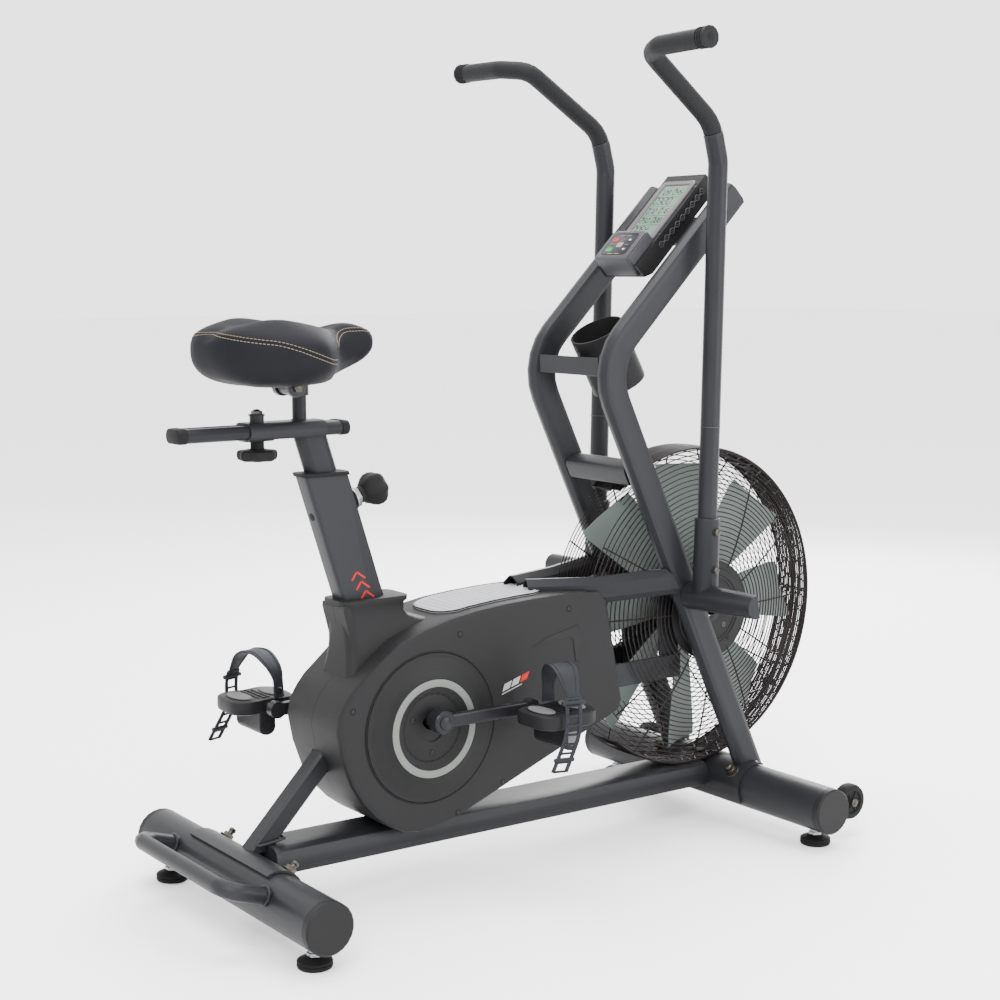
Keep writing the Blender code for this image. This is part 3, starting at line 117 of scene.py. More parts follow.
MATERIALS = {
    "frame_paint": surface("powder_coat", (0.0085, 0.0087, 0.0102), 0.4, 0.08, (9, 0.1), 0.05, (1400, 0.28),
                           wear=0.25),
    "housing_plastic": surface("housing_moulded", (0.007, 0.007, 0.0075), 0.52, 0, (7, 0.08), 0.05,
                               (1900, 0.22)),
    "disc_plastic": surface("disc_moulded", (0.0048, 0.0048, 0.0052), 0.46, 0, (9, 0.08), 0.05, (1900, 0.18)),
    "black_rubber": surface("rubber", (0.0034, 0.0034, 0.0037), 0.66, 0, (20, 0.15), 0.08, (1200, 0.3)),
    "strap_rubber": surface("strap_rubber", (0.01, 0.0108, 0.0135), 0.55, 0, (20, 0.1), 0.06,
                            (1500, 0.2)),
    "dark_steel": surface("dark_steel", (0.011, 0.011, 0.013), 0.32, 0.45, (30, 0.15), 0.07, (700, 0.1),
                          wear=0.3),
    "bolt_steel": surface("bolt_steel", (0.032, 0.029, 0.024), 0.3, 0.85, (60, 0.2), 0.1, (900, 0.12),
                          wear=0.4),
    "zinc": surface("zinc", (0.24, 0.25, 0.26), 0.3, 0.9, (60, 0.12), 0.1, (900, 0.1)),
    "wire_coating": surface("wire_coating", (0.007, 0.0048, 0.0048), 0.42, 0.1, (40, 0.2), 0.08,
                            (1600, 0.12)),
    "blade_plastic": surface("blades", (0.083, 0.098, 0.092), 0.45, 0.1, (10, 0.1), 0.08, (900, 0.1)),
    "saddle_vinyl": surface("vinyl", (0.0068, 0.0068, 0.0084), 0.58, 0, (16, 0.1), 0.05, (950, 0.1),
                            "VORONOI", 0.0003, 0.03),
    "grip_foam": surface("grip_foam", (0.0058, 0.006, 0.007), 0.62, 0, (30, 0.12), 0.06, (700, 0.55),
                         depth=0.0006),
    "pedal_plastic": surface("pedal_moulded", (0.0062, 0.0062, 0.007), 0.5, 0, (20, 0.1), 0.06,
                             (1500, 0.25)),
    "pedal_insert": surface("pedal_insert", (0.085, 0.081, 0.083), 0.62, 0, (60, 0.14), 0.06, (1300, 0.6),
                            "VORONOI"),
    "lcd_screen": surface("lcd_glass", (0.08, 0.128, 0.095), 0.3, 0, (9, 0.05), 0.04, (500, 0.02),
                          coat=0.15),
    "lcd_ink": surface("lcd_ink", (0.006, 0.01, 0.012), 0.4, 0, (50, 0.1), 0.04, (800, 0.0)),
    "bezel": surface("bezel", (0.085, 0.076, 0.082), 0.38, 0.15, (20, 0.06), 0.05, (1600, 0.12)),
    "keypad_grey": surface("keypad_grey", (0.036, 0.036, 0.04), 0.4, 0.1, (20, 0.08), 0.05, (1600, 0.15)),
    "panel_black": surface("panel_black", (0.0045, 0.0045, 0.0065), 0.28, 0, (20, 0.05), 0.05, (800, 0.03),
                           coat=0.1),
    "key_red": surface("key_red", (0.26, 0.01, 0.014), 0.35, 0, (80, 0.1), 0.05, (900, 0.1)),
    "key_green": surface("key_green", (0.01, 0.17, 0.04), 0.35, 0, (80, 0.1), 0.05, (900, 0.1)),
    "key_white": surface("key_white", (0.01, 0.01, 0.013), 0.35, 0, (80, 0.1), 0.05, (900, 0.1)),
    "key_mark": surface("key_mark", (0.42, 0.43, 0.44), 0.4, 0, (80, 0.05), 0.05, (900, 0.0)),
    "key_silver": surface("key_silver", (0.2, 0.19, 0.16), 0.35, 0.4, (80, 0.1), 0.05, (900, 0.1)),
    "ring_silver": surface("ring_silver", (0.1, 0.105, 0.098), 0.42, 0.15, (20, 0.05), 0.05, (1600, 0.15)),
    "step_pad": surface("step_pad", (0.25, 0.25, 0.265), 0.48, 0.05, (40, 0.06), 0.06, (700, 0.25)),
    "flash_red": surface("flash_red", (0.3, 0.004, 0.004), 0.4, 0, (60, 0.05), 0.05, (900, 0.05)),
    "flash_grey": surface("flash_grey", (0.24, 0.245, 0.245), 0.4, 0, (60, 0.05), 0.05, (900, 0.05)),
    "thread": surface("thread", (0.14, 0.115, 0.085), 0.75, 0, (300, 0.2), 0.05, (3000, 0.5)),
    # painted shade: a near-black finish laid in holes, sockets, grooves and recesses where only shade falls
    "hole_dark": surface("hole_dark", (0.006, 0.006, 0.006), 0.8, 0, (60, 0.1), 0.05, (900, 0.1)),
}


# ------------ shapes, each (vertices, faces)

def turns(count, start=0.0):
    """Angles spread evenly round a full turn."""
    return [start + 2 * math.pi * i / count for i in range(count)]


def circle(radius, count=24, tall=None):
    """A circle's points, or an oval's where its other half width is given."""
    return [(radius * math.cos(t), (tall or radius) * math.sin(t)) for t in turns(count)]


def spoke(t, radius=1.0, y=0.0):
    """A point at an angle and radius round the Y axis."""
    return Vector((radius * math.cos(t), y, radius * math.sin(t)))


def aside(y):
    return Vector((0, y, 0))


def ruler(points):
    """A line's length, and a function from a distance along it to (segment, share of the segment)."""
    run = [0.0]
    for a, b in zip(points, points[1:]):
        run.append(run[-1] + (b - a).length)

    def find(s):
        for i in range(len(points) - 1):
            if run[i + 1] >= s:
                return i, (s - run[i]) / max(run[i + 1] - run[i], 1e-9)
        return len(points) - 2, 1.0

    return run[-1], find


def rounded_box(width, height, corner, steps=4):
    points = []
    for cx, cy, start in ((1, 1, 0), (-1, 1, 90), (-1, -1, 180), (1, -1, 270)):
        for i in range(steps + 1):
            t = math.radians(start + 90 * i / steps)
            points.append((cx * (width / 2 - corner) + corner * math.cos(t),
                           cy * (height / 2 - corner) + corner * math.sin(t)))
    return points


def bend(points, radius, steps=6):
    """A polyline with its corners rounded."""
    points = [Vector(p) for p in points]
    path = [points[0]]
    for before, corner, after in zip(points, points[1:], points[2:]):
        a, b = (before - corner), (after - corner)
        reach = min(radius, a.length * 0.48, b.length * 0.48)
        start, end = corner + a.normalized() * reach, corner + b.normalized() * reach
        for i in range(steps + 1):
            t = i / steps
            path.append(start * (1 - t) ** 2 + corner * 2 * t * (1 - t) + end * t * t)
    path.append(points[-1])
    return path


def smooth_line(points, steps=6, closed=False):
    """A Catmull-Rom curve through the points."""
    points = [Vector(p) for p in points]
    count = len(points)
    line = []
    for i in range(count if closed else count - 1):
        near = (i + k if closed else min(max(i + k, 0), count - 1) for k in (-1, 0, 1, 2))
        a, b, c, d = (points[k % count] for k in near)
        for j in range(steps):
            t = j / steps
            line.append(0.5 * ((2 * b) + (c - a) * t + (2 * a - 5 * b + 4 * c - d) * t * t
                               + (3 * b - a - 3 * c + d) * t ** 3))
    if not closed:
        line.append(points[-1])
    return line


def frames_along(path, side):
    """Each of the path's points with its two axes across the path."""
    last = len(path) - 1
    across = Vector(side)
    result = []
    for i, place in enumerate(path):
        tangent = (path[min(i + 1, last)] - path[max(i - 1, 0)]).normalized()
        across = (across - tangent * across.dot(tangent)).normalized()
        result.append((place, tangent.cross(across), across))
    return result


def sweep(path, section, side=(0, 1, 0), sizes=None, closed=False):
    """A section carried along a path: its first axis across the side vector, its second along it."""
    path = [Vector(p) for p in path]
    vertices, faces = [], []
    count, last = len(section), len(path)
    for i, (place, first, second) in enumerate(frames_along(path, side)):
        size = sizes[i] if sizes else 1.0
        wide, tall = size if isinstance(size, tuple) else (size, size)
        vertices += [place + first * a * wide + second * b * tall for a, b in section]
    for i in range(last if closed else last - 1):
        k = (i + 1) % last
        for j in range(count):
            n = (j + 1) % count
            faces.append((i * count + j, i * count + n, k * count + n, k * count + j))
    if not closed:
        faces.append(tuple(reversed(range(count))))
        faces.append(tuple((last - 1) * count + j for j in range(count)))
    return vertices, faces


def axes_of(axis):
    """A unit axis and two more at right angles to it."""
    axis = Vector(axis).normalized()
    other = UP if abs(axis.z) < 0.9 else Vector((1, 0, 0))
    first = axis.cross(other).normalized()
    return axis, first, axis.cross(first)


def lathe(profile, centre, axis=(0, 1, 0), count=48, wobble=None):
    """A turned shape from (radius, height) points. wobble(angle, radius) scales the radius round the axis."""
    axis, first, second = axes_of(axis)
    centre = Vector(centre)
    vertices, faces, rows = [], [], []
    for radius, height in profile:
        if radius < 1e-7:
            rows.append([len(vertices)])
            vertices.append(centre + axis * height)
            continue
        row = []
        for t in turns(count):
            r = radius * (wobble(t, radius) if wobble else 1.0)
            row.append(len(vertices))
            vertices.append(centre + axis * height + first * r * math.cos(t) + second * r * math.sin(t))
        rows.append(row)
    for low, high in zip(rows, rows[1:]):
        for j in range(count):
            k = (j + 1) % count
            if len(low) == 1 and len(high) > 1:
                faces.append((low[0], high[k], high[j]))
            elif len(high) == 1 and len(low) > 1:
                faces.append((low[j], low[k], high[0]))
            elif len(low) > 1:
                faces.append((low[j], low[k], high[k], high[j]))
    return vertices, faces


def rod(start, end, radius, count=20, soft=0.0):
    start, end = Vector(start), Vector(end)
    length = (end - start).length
    soft = min(soft, radius * 0.9, length * 0.4)
    rim = [(radius, 0), (radius, length)]
    if soft:
        rim = [(radius - soft, 0), (radius, soft), (radius, length - soft), (radius - soft, length)]
    return lathe([(0, 0), *rim, (0, length)], start, end - start, count)


def ring(centre, axis, radius, thick, count=96, sides=6, keep=None):
    """A round wire. keep(point) leaves stretches of it out."""
    axis, first, second = axes_of(axis)
    centre = Vector(centre)
    points = [centre + (first * math.cos(t) + second * math.sin(t)) * radius for t in turns(count)]
    wire = circle(thick, sides)
    kept = [keep(p) for p in points] if keep else []
    if all(kept):
        return [sweep(points, wire, axis, closed=True)]
    first_gap = kept.index(False)
    runs = [[]]
    for i in range(count):
        k = (first_gap + i) % count
        if kept[k]:
            runs[-1].append(points[k])
        elif runs[-1]:
            runs.append([])
    return [sweep(run, wire, axis) for run in runs if len(run) > 2]


def loft(rings, capped=True):
    """A skin over rings of points, with flat ends if it's capped."""
    count = len(rings[0])
    vertices = [Vector(p) for r in rings for p in r]
    faces = []
    for i in range(len(rings) - 1):
        for j in range(count):
            k = (j + 1) % count
            faces.append((i * count + j, i * count + k, (i + 1) * count + k, (i + 1) * count + j))
    if capped:
        faces.append(tuple(reversed(range(count))))
        faces.append(tuple((len(rings) - 1) * count + j for j in range(count)))
    return vertices, faces


def levels_of(outline, levels, to_world, centre=(0, 0)):
    """A flat outline of (a, b) points lofted through (height, inset) levels.

    to_world(a, b, h) places a point."""
    rings = []
    for height, pull in levels:
        points = []
        for a, b in outline:
            x, y = a - centre[0], b - centre[1]
            scale = max(0.0, 1 - pull / max(math.hypot(x, y), 1e-6))
            points.append(to_world(centre[0] + x * scale, centre[1] + y * scale, height))
        rings.append(points)
    return loft(rings)


def slab(outline, low, high, to_world, soft=0.0):
    """A flat outline made thick. soft rounds the top edge."""
    levels = [(low, 0.0), (high - soft, 0.0)]
    if soft:
        levels += [(high - soft * 0.3, soft * 0.7), (high, soft * 1.6)]
    return levels_of(outline, levels, to_world, [sum(p) / len(outline) for p in zip(*outline)])


def hexagon(place, axis, across, height, dome=0.0):
    """A hexagonal nut or bolt head, with a dome on a cap nut."""
    flats = [(0, 0), (across, 0), (across, height * 0.9), (across * 0.9, height), (0, height)]
    parts = [lathe(flats, place, axis, 6)]
    if dome:
        top = Vector(place) + Vector(axis).normalized() * height
        bulge = [(across * 0.72 * math.cos(t), dome * math.sin(t)) for t in (0, 0.4, 0.8, 1.2)]
        parts.append(lathe([(0, 0), *bulge, (0, dome)], top, axis, 20))
    return parts


def disc(place, axis, height, top, foot, count):
    """A low round head, open underneath."""
    return lathe([(0, height), (top, height), (foot, 0)], place, axis, count)


def outward(mesh):
    """Makes the faces' normals point outwards."""
    work = bmesh.new()
    work.from_mesh(mesh)
    bmesh.ops.recalc_face_normals(work, faces=work.faces)
    work.to_mesh(mesh)
    work.free()


def linked(name, data):
    """A new object in the scene."""
    item = bpy.data.objects.new(name, data)
    bpy.context.scene.collection.objects.link(item)
    return item


class Piece:
    """Shapes in their materials, gathered into one object that rides on a body."""

    def __init__(self, name, body, slot):
        self.name, self.body, self.slot = name, body, slot
        self.vertices, self.faces, self.index, self.used = [], [], [], []

    def add(self, shapes, material=None):
        material = material or self.slot
        if material not in self.used:
            self.used.append(material)
        for vertices, faces in [shapes] if isinstance(shapes, tuple) else shapes:
            base = len(self.vertices)
            self.vertices += [Vector(v) for v in vertices]
            self.faces += [tuple(base + i for i in f) for f in faces]
            self.index += [self.used.index(material)] * len(faces)
        return self

    def build(self, *replaced):
        mesh = bpy.data.meshes.new(self.name)
        mesh.from_pydata(self.vertices, [], self.faces)
        for material in self.used:
            mesh.materials.append(MATERIALS[material])
        mesh.polygons.foreach_set("material_index", self.index)
        outward(mesh)
        mesh.shade_smooth()
        mesh.set_sharp_from_angle(angle=math.radians(38))
        item = linked(self.name, mesh)
        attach(item, self.body)
        if replaced:
            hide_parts(*replaced)


# ------------ CAD nodes that stay

EDGE_ANGLE = math.radians(40)


def smoothing_group():
    """Smooth shading, but for edges sharper than EDGE_ANGLE."""
    group = bpy.data.node_groups.new("smooth_by_angle", "GeometryNodeTree")
    for way in ("INPUT", "OUTPUT"):
        group.interface.new_socket("Geometry", in_out=way, socket_type="NodeSocketGeometry")
    nodes, link = group.nodes, group.links.new
    start, end = nodes.new("NodeGroupInput"), nodes.new("NodeGroupOutput")
    angle = nodes.new("GeometryNodeInputMeshEdgeAngle")
    below = nodes.new("FunctionNodeCompare")
    below.operation = "LESS_EQUAL"
    below.inputs["B"].default_value = EDGE_ANGLE
    faces, edges = (nodes.new("GeometryNodeSetShadeSmooth") for _ in range(2))
    faces.domain, edges.domain = "FACE", "EDGE"
    link(angle.outputs["Unsigned Angle"], below.inputs["A"])
    link(start.outputs[0], faces.inputs["Geometry"])
    link(faces.outputs[0], edges.inputs["Geometry"])
    link(below.outputs[0], edges.inputs["Shade Smooth"])
    link(edges.outputs[0], end.inputs[0])
    return group


SMOOTHING = smoothing_group()


def refine(item, material, bevel):
    """A CAD node's finish, softened edges and clean shading."""
    item.data.materials.clear()
    item.data.materials.append(MATERIALS[material])
    custom = item.data.attributes.get("custom_normal")
    if custom:
        item.data.attributes.remove(custom)
    weld = item.modifiers.new("weld", "WELD")
    weld.merge_threshold = 0.00001
    flat = item.modifiers.new("flat", "DECIMATE")
    flat.decimate_type = "DISSOLVE"
    flat.angle_limit = math.radians(0.6)
    if bevel:
        edge = item.modifiers.new("edge", "BEVEL")
        edge.width = bevel
        edge.segments = 2
        edge.limit_method = "ANGLE"
        edge.angle_limit = EDGE_ANGLE
        edge.use_clamp_overlap = True
    shade = item.modifiers.new("shade", "NODES")
    shade.node_group = SMOOTHING
    weighted = item.modifiers.new("weighted", "WEIGHTED_NORMAL")
    weighted.keep_sharp = True


BEVELS = {"housing_cover_left": 0.0012, "housing_cover_right": 0.0012, "mast_left": 0.0, "mast_right": 0.0,
          "console_housing": 0.0015, "drive_belt": 0.0, "console_screen": 0.0003}
for node, item in NODES.items():
    refine(item, SLOT_OF[node], BEVELS.get(node, 0.0002 if node.startswith("key_") else 0.0006))


# ------------ fan and guards

RING_COUNT, RING_STEP = 24, 0.0079  # the wires of each face
RIM_ROWS, RIM_STEP, LACES = 9, 0.004, 120  # the woven rim
SPOKES = (0, 30, 60, 90, 120, 150, 180, 222, 240, 270, 300, 330)  # degrees
CLIPS = (20, 57, 90, 128, 236, 280, 322, 345)
BLADES, ROOT_R, BLADE_LENGTH, BLADE_HALF_THICK = 8, 0.043, 0.2, 0.0009


def cage_height(radius):
    if radius <= HUB_R:
        return CAGE_HALF
    share = (radius - HUB_R) / (CAGE_R - HUB_R)
    return RIM_HALF + (CAGE_HALF - RIM_HALF) * (1 - share ** 1.6)


def clear_of_drive(point):
    """Wires stay out of the way of the push rods and the belt, inside the housing."""
    away = point - FAN
    radius = math.hypot(away.x, away.z)
    if away.x < 0 and 0.186 < radius < 0.252 and -0.134 < away.z < -0.052:
        return False
    return not (radius > 0.252 and away.x < -0.175)


def make_guard(side_name, side):
    piece = Piece("guard_wires_" + side_name, "frame", "wire_coating")
    axis = (0, side, 0)
    for i in range(RING_COUNT):
        radius = HUB_R + 0.0035 + RING_STEP * i
        centre = FAN + aside(side * (cage_height(radius) - 0.0012))
        piece.add(ring(centre, Y_AXIS, radius, 0.00105, 112, 6, clear_of_drive))
    for i in range(RIM_ROWS):
        thick = 0.0022 if i in (0, RIM_ROWS - 1) else 0.0013
        centre = FAN + aside(side * (0.0022 + i * RIM_STEP))
        piece.add(ring(centre, Y_AXIS, CAGE_R - thick, thick, 120, 6, clear_of_drive))
    for degrees in SPOKES:
        t = math.radians(degrees)
        radii = [HUB_R - 0.006 + (CAGE_R - HUB_R + 0.004) * k / 14 for k in range(15)]
        line = [FAN + spoke(t, radius, side * (cage_height(radius) - 0.003)) for radius in radii]
        line += [FAN + spoke(t, CAGE_R - 0.0035, side * y) for y in (0.018, 0.002)]
        line = [p for p in line if clear_of_drive(p)]
        if len(line) > 2:
            piece.add(sweep(line, circle(0.0014, 6)))
    for k in range(LACES):
        t = 2 * math.pi * k / LACES
        lean = math.radians(4.2 if k % 2 else -4.2)
        ends = [FAN + spoke(a, CAGE_R - 0.0022, side * y) for a, y in ((t, 0.003), (t + lean, 0.0335))]
        if all(clear_of_drive(end) for end in ends):
            piece.add(rod(*ends, 0.0012, 6))
    for degrees in CLIPS:
        out, along = (spoke(math.radians(degrees + more)) for more in (0, 90))
        foot = FAN + out * (CAGE_R - 0.005) + aside(side * 0.0005)
        corners = ((-0.006, 0), (0.006, 0), (0.006, 0.011), (-0.006, 0.011))
        clip = [foot + along * a + aside(side * b) for a, b in corners]
        piece.add(loft([clip, [p + out * 0.005 for p in clip]]), "black_rubber")
    hub = [(0.0112, 0.0722), (0.0112, 0.0752), (0.018, 0.0752), (0.02, 0.0738), (0.027, 0.0738), (0.029, 0.0752),
           (0.05, 0.0756), (0.0515, 0.0742), (0.0545, 0.0742), (0.056, 0.0756), (0.071, 0.0753), (0.0725, 0.0735),
           (0.0775, 0.0732), (0.0845, 0.0725), (0.0845, 0.07), (0.0112, 0.07), (0.0112, 0.0722)]
    piece.add(lathe(hub, FAN, axis, 72), "disc_plastic")
    piece.add(ring(FAN + aside(side * 0.0757), Y_AXIS, 0.0615, 0.0011, 72), "disc_plastic")
    for t in turns(4, math.pi / 4):
        place = FAN + spoke(t, 0.04, side * 0.075)
        piece.add(disc(place, axis, 0.0012, 0.0042, 0.0046, 20), "bolt_steel")
        # painted shade: a dark disc in the bolt head's socket
        piece.add(disc(place, axis, 0.0014, 0.002, 0.002, 6), "hole_dark")
    # painted shade: five dark discs standing for holes in the hub
    for t in turns(5, math.radians(18)):
        piece.add(disc(FAN + spoke(t, 0.066, side * 0.0751), axis, 0.0008, 0.0036, 0.0036, 16), "hole_dark")
    piece.build("fan_guard_" + side_name)


def make_axle_nuts():
    piece = Piece("fan_axle_nuts", "frame", "dark_steel")
    piece.add(rod(FAN - aside(CAGE_HALF), FAN + aside(CAGE_HALF), 0.0098, 32))
    for side in (-1, 1):
        piece.add(hexagon(FAN + aside(side * 0.07), (0, side, 0), 0.0108, 0.0055), "bolt_steel")
    piece.build("fan_axle")


def make_fan():
    """Eight broad sheet blades, each with a folded stiffening line, on a drum hub."""
    piece = Piece("fan_blades", "fan", "blade_plastic")
    for t in turns(BLADES):
        pitch = (Matrix.Translation(FAN) @ Matrix.Rotation(t, 4, "Y")
                 @ Matrix.Rotation(math.radians(66), 4, "Z"))
        rings = []
        for r in range(13):
            share = r / 12
            half = 0.017 + 0.037 * share ** 0.85 - (0.004 if r == 12 else 0)
            row = []
            for c in range(9):
                across = -half + 2 * half * c / 8
                cup = 0.0055 * share * (1 - (across / half) ** 2) - 0.002
                cup += 0.0016 * math.exp(-((across - 0.35 * half) / 0.004) ** 2)
                row.append(Vector((cup, across, ROOT_R + BLADE_LENGTH * share)))
            thick = Vector((BLADE_HALF_THICK, 0, 0))
            rings.append([p + thick for p in row] + [p - thick for p in reversed(row)])
        vertices, faces = loft(rings)
        piece.add(([pitch @ v for v in vertices], faces))
        for radius in (0.055, 0.068):
            rivet = pitch @ Vector((0.0035, 0.0, radius))
            facing = pitch.to_3x3() @ Vector((1, 0, 0))
            piece.add(lathe([(0, 0.0014), (0.003, 0.0008), (0.0034, 0)], rivet, facing, 14), "bolt_steel")
    hub = [(0.0107, -0.03), (0.04, -0.03), (0.045, -0.027), (0.045, 0.0285), (0.0355, 0.0285), (0.0355, 0.0305),
           (0.032, 0.0315), (0.032, 0.0415), (0.035, 0.0425), (0.0107, 0.0425), (0.0107, -0.03)]
    piece.add(lathe(hub, FAN, Y_AXIS, 64), "disc_plastic")
    for side in (-1, 1):
        piece.add(ring(FAN + aside(side * 0.0266), Y_AXIS, 0.0585, 0.0022, 72), "dark_steel")
    piece.build("fan_wheel")


for side_name, side in SIDES:
    make_guard(side_name, side)
make_axle_nuts()
make_fan()


# ------------ saddle

# Rings from the saddle's rear to its nose: x, half width, underside, top
SADDLE = ((-0.556, 0.032, 0.832, 0.858), (-0.549, 0.058, 0.812, 0.868), (-0.531, 0.089, 0.796, 0.874),
          (-0.502, 0.112, 0.787, 0.876), (-0.462, 0.1215, 0.784, 0.875), (-0.422, 0.115, 0.785, 0.873),
          (-0.388, 0.09, 0.789, 0.871), (-0.357, 0.052, 0.8, 0.871), (-0.324, 0.037, 0.813, 0.8735),
          (-0.299, 0.0325, 0.823, 0.8715), (-0.286, 0.024, 0.831, 0.865), (-0.28, 0.01, 0.84, 0.856))
SADDLE_LOW, SADDLE_HIGH = 0.7835, 0.8795
CLOTH_FRAMES = 20


def saddle_top(x, y):
    """How far the top swells or dips: a lobe under each sitting bone, a valley between, a crescent edge."""
    lobe = 0.0085 * math.exp(-((x + 0.468) / 0.046) ** 2 - ((abs(y) - 0.064) / 0.036) ** 2)
    valley = -0.012 * math.exp(-(y / 0.022) ** 2) * math.exp(-((x + 0.46) / 0.075) ** 2)
    waist = -0.0055 * math.exp(-((x + 0.372) / 0.026) ** 2) * math.exp(-(y / 0.09) ** 2)
    return lobe + valley + waist


def make_saddle_mesh():
    lines = [smooth_line([(s[0], s[k], 0) for s in SADDLE], 5) for k in (1, 2, 3)]
    rings = []
    for half, low, high in zip(*lines):
        x, middle, tall = half.x, (low.y + high.y) / 2, (high.y - low.y) / 2
        points = []
        for t in turns(56):
            wide, up = (math.copysign(abs(v) ** 0.72, v) for v in (math.cos(t), math.sin(t)))
            y = half.y * wide
            z = middle + tall * up
            if up > 0:
                z += saddle_top(x, y) * up
            else:
                z += 0.01 * (-up) * max(0.0, 1 - abs(wide) * 1.05) * math.exp(-((x + 0.43) / 0.07) ** 2)
                y *= 1 - 0.1 * (-up) ** 2
            points.append(Vector((x, y, z)))
        rings.append(points)
    mesh = bpy.data.meshes.new("saddle_cushion")
    vertices, faces = loft(rings)
    mesh.from_pydata(vertices, [], faces)
    outward(mesh)
    return linked("saddle_cushion", mesh)


def apply_modifiers(item):
    graph = bpy.context.evaluated_depsgraph_get()
    made = bpy.data.meshes.new_from_object(item.evaluated_get(graph))
    item.modifiers.clear()
    item.data = made


def inflate(item, voxel, pressure, cap):
    """Cloth under pressure, applied, with no point moving further than the cap."""
    remesh = item.modifiers.new("remesh", "REMESH")
    remesh.mode = "VOXEL"
    remesh.voxel_size = voxel
    apply_modifiers(item)
    before = [v.co.copy() for v in item.data.vertices]
    cloth = item.modifiers.new("cloth", "CLOTH")
    cloth.settings.use_pressure = True
    cloth.settings.uniform_pressure_force = pressure
    cloth.settings.effector_weights.gravity = 0
    for name, stiffness in (("tension", 25), ("compression", 25), ("shear", 10), ("bending", 2)):
        setattr(cloth.settings, name + "_stiffness", stiffness)
    cloth.point_cache.frame_start = 1
    cloth.point_cache.frame_end = CLOTH_FRAMES
    scene = bpy.context.scene
    for number in range(1, CLOTH_FRAMES + 1):
        scene.frame_set(number)
    graph = bpy.context.evaluated_depsgraph_get()
    after = [v.co.copy() for v in item.evaluated_get(graph).data.vertices]
    item.modifiers.clear()
    scene.frame_set(1)
    for vertex, old, new in zip(item.data.vertices, before, after):
        step = new - old
        if step.length > cap:
            step *= cap / step.length
        vertex.co = old + step
        vertex.co = old + step
    relax = item.modifiers.new("relax", "SMOOTH")
    relax.iterations = 4
    relax.factor = 0.4
    finer = item.modifiers.new("finer", "SUBSURF")
    finer.levels = 1
    finer.render_levels = 1
    apply_modifiers(item)


def seam_line(tree, rays):
    """Where (start, direction) rays first meet the surface, as (place, normal)."""
    hits = [tree.ray_cast(Vector(start), Vector(way).normalized()) for start, way in rays]
    return [(place, normal) for place, normal, _, _ in hits if place]


def stitch(piece, line, offset):
    """A row of short thread dashes beside a seam line."""
    places = []
    for i, (place, normal) in enumerate(line):
        tangent = (line[min(i + 1, len(line) - 1)][0] - line[max(i - 1, 0)][0]).normalized()
        places.append(place + normal.cross(tangent).normalized() * offset)
    total, find = ruler(places)

    def at(s):
        i, t = find(s)
        return places[i].lerp(places[i + 1], t) + line[i][1] * 0.0003

    s = 0.001
    while s + 0.0042 < total:
        piece.add(rod(at(s), at(s + 0.004), 0.00055, 6, 0.0002), "thread")
        s += 0.0056


def make_saddle():
    cushion = make_saddle_mesh()
    inflate(cushion, 0.005, 4.0, 0.0045)
    heights = [v.co.z for v in cushion.data.vertices]
    low = min(heights)
    stretch = (SADDLE_HIGH - SADDLE_LOW) / (max(heights) - low)
    for vertex in cushion.data.vertices:
        vertex.co.z = SADDLE_LOW + (vertex.co.z - low) * stretch
        if abs(vertex.co.y) < 0.034 and -0.485 < vertex.co.x < -0.366:  # over the clamp
            vertex.co.z = max(vertex.co.z, 0.801)
    cushion.data.materials.append(MATERIALS["saddle_vinyl"])
    cushion.data.shade_smooth()
    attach(cushion, "saddle")
    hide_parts("saddle")
    tree = BVHTree.FromPolygons([v.co for v in cushion.data.vertices],
                                [p.vertices for p in cushion.data.polygons])
    centre = Vector((-0.455, 0, 0))
    rear = []
    for degrees in range(52, 309, 3):
        t = math.radians(degrees)
        out = Vector((math.cos(t), math.sin(t), 0))
        away = abs(degrees - 180) / 128
        drop = max(0.0, away - 0.5) / 0.5
        height = 0.8535 + 0.0065 * math.cos(2 * t) - 0.032 * drop * drop * (3 - 2 * drop)
        rear.append((centre + out * 0.3 + Vector((0, 0, height)), -out))
    seams = [seam_line(tree, rear)]
    for side in (-1, 1):
        line = []
        for k in range(22):
            x = -0.378 + 0.088 * k / 21
            height = 0.842 + 0.02 * math.sin(math.pi * 0.5 * min(1.0, k / 11)) - 0.004 * max(0, k - 16) / 5
            line.append(((x, side * 0.2, height), (0, -side, 0)))
        seams.append(seam_line(tree, line))
    piece = Piece("saddle_stitching", "saddle", "saddle_vinyl")
    for line in seams:
        piece.add(sweep([p - n * 0.0004 for p, n in line], circle(0.001, 8), UP))
        stitch(piece, line, 0.003)
        stitch(piece, line, -0.003)
    piece.build()


make_saddle()


# ------------ pedals and straps

PEDAL_OUTLINE = ((0.055, 0), (0.05, 0.03), (0.03, 0.042), (0, 0.038), (-0.03, 0.042), (-0.052, 0.03),
                 (-0.055, 0), (-0.05, -0.032), (-0.03, -0.045), (0, -0.042), (0.03, -0.045), (0.05, -0.032))


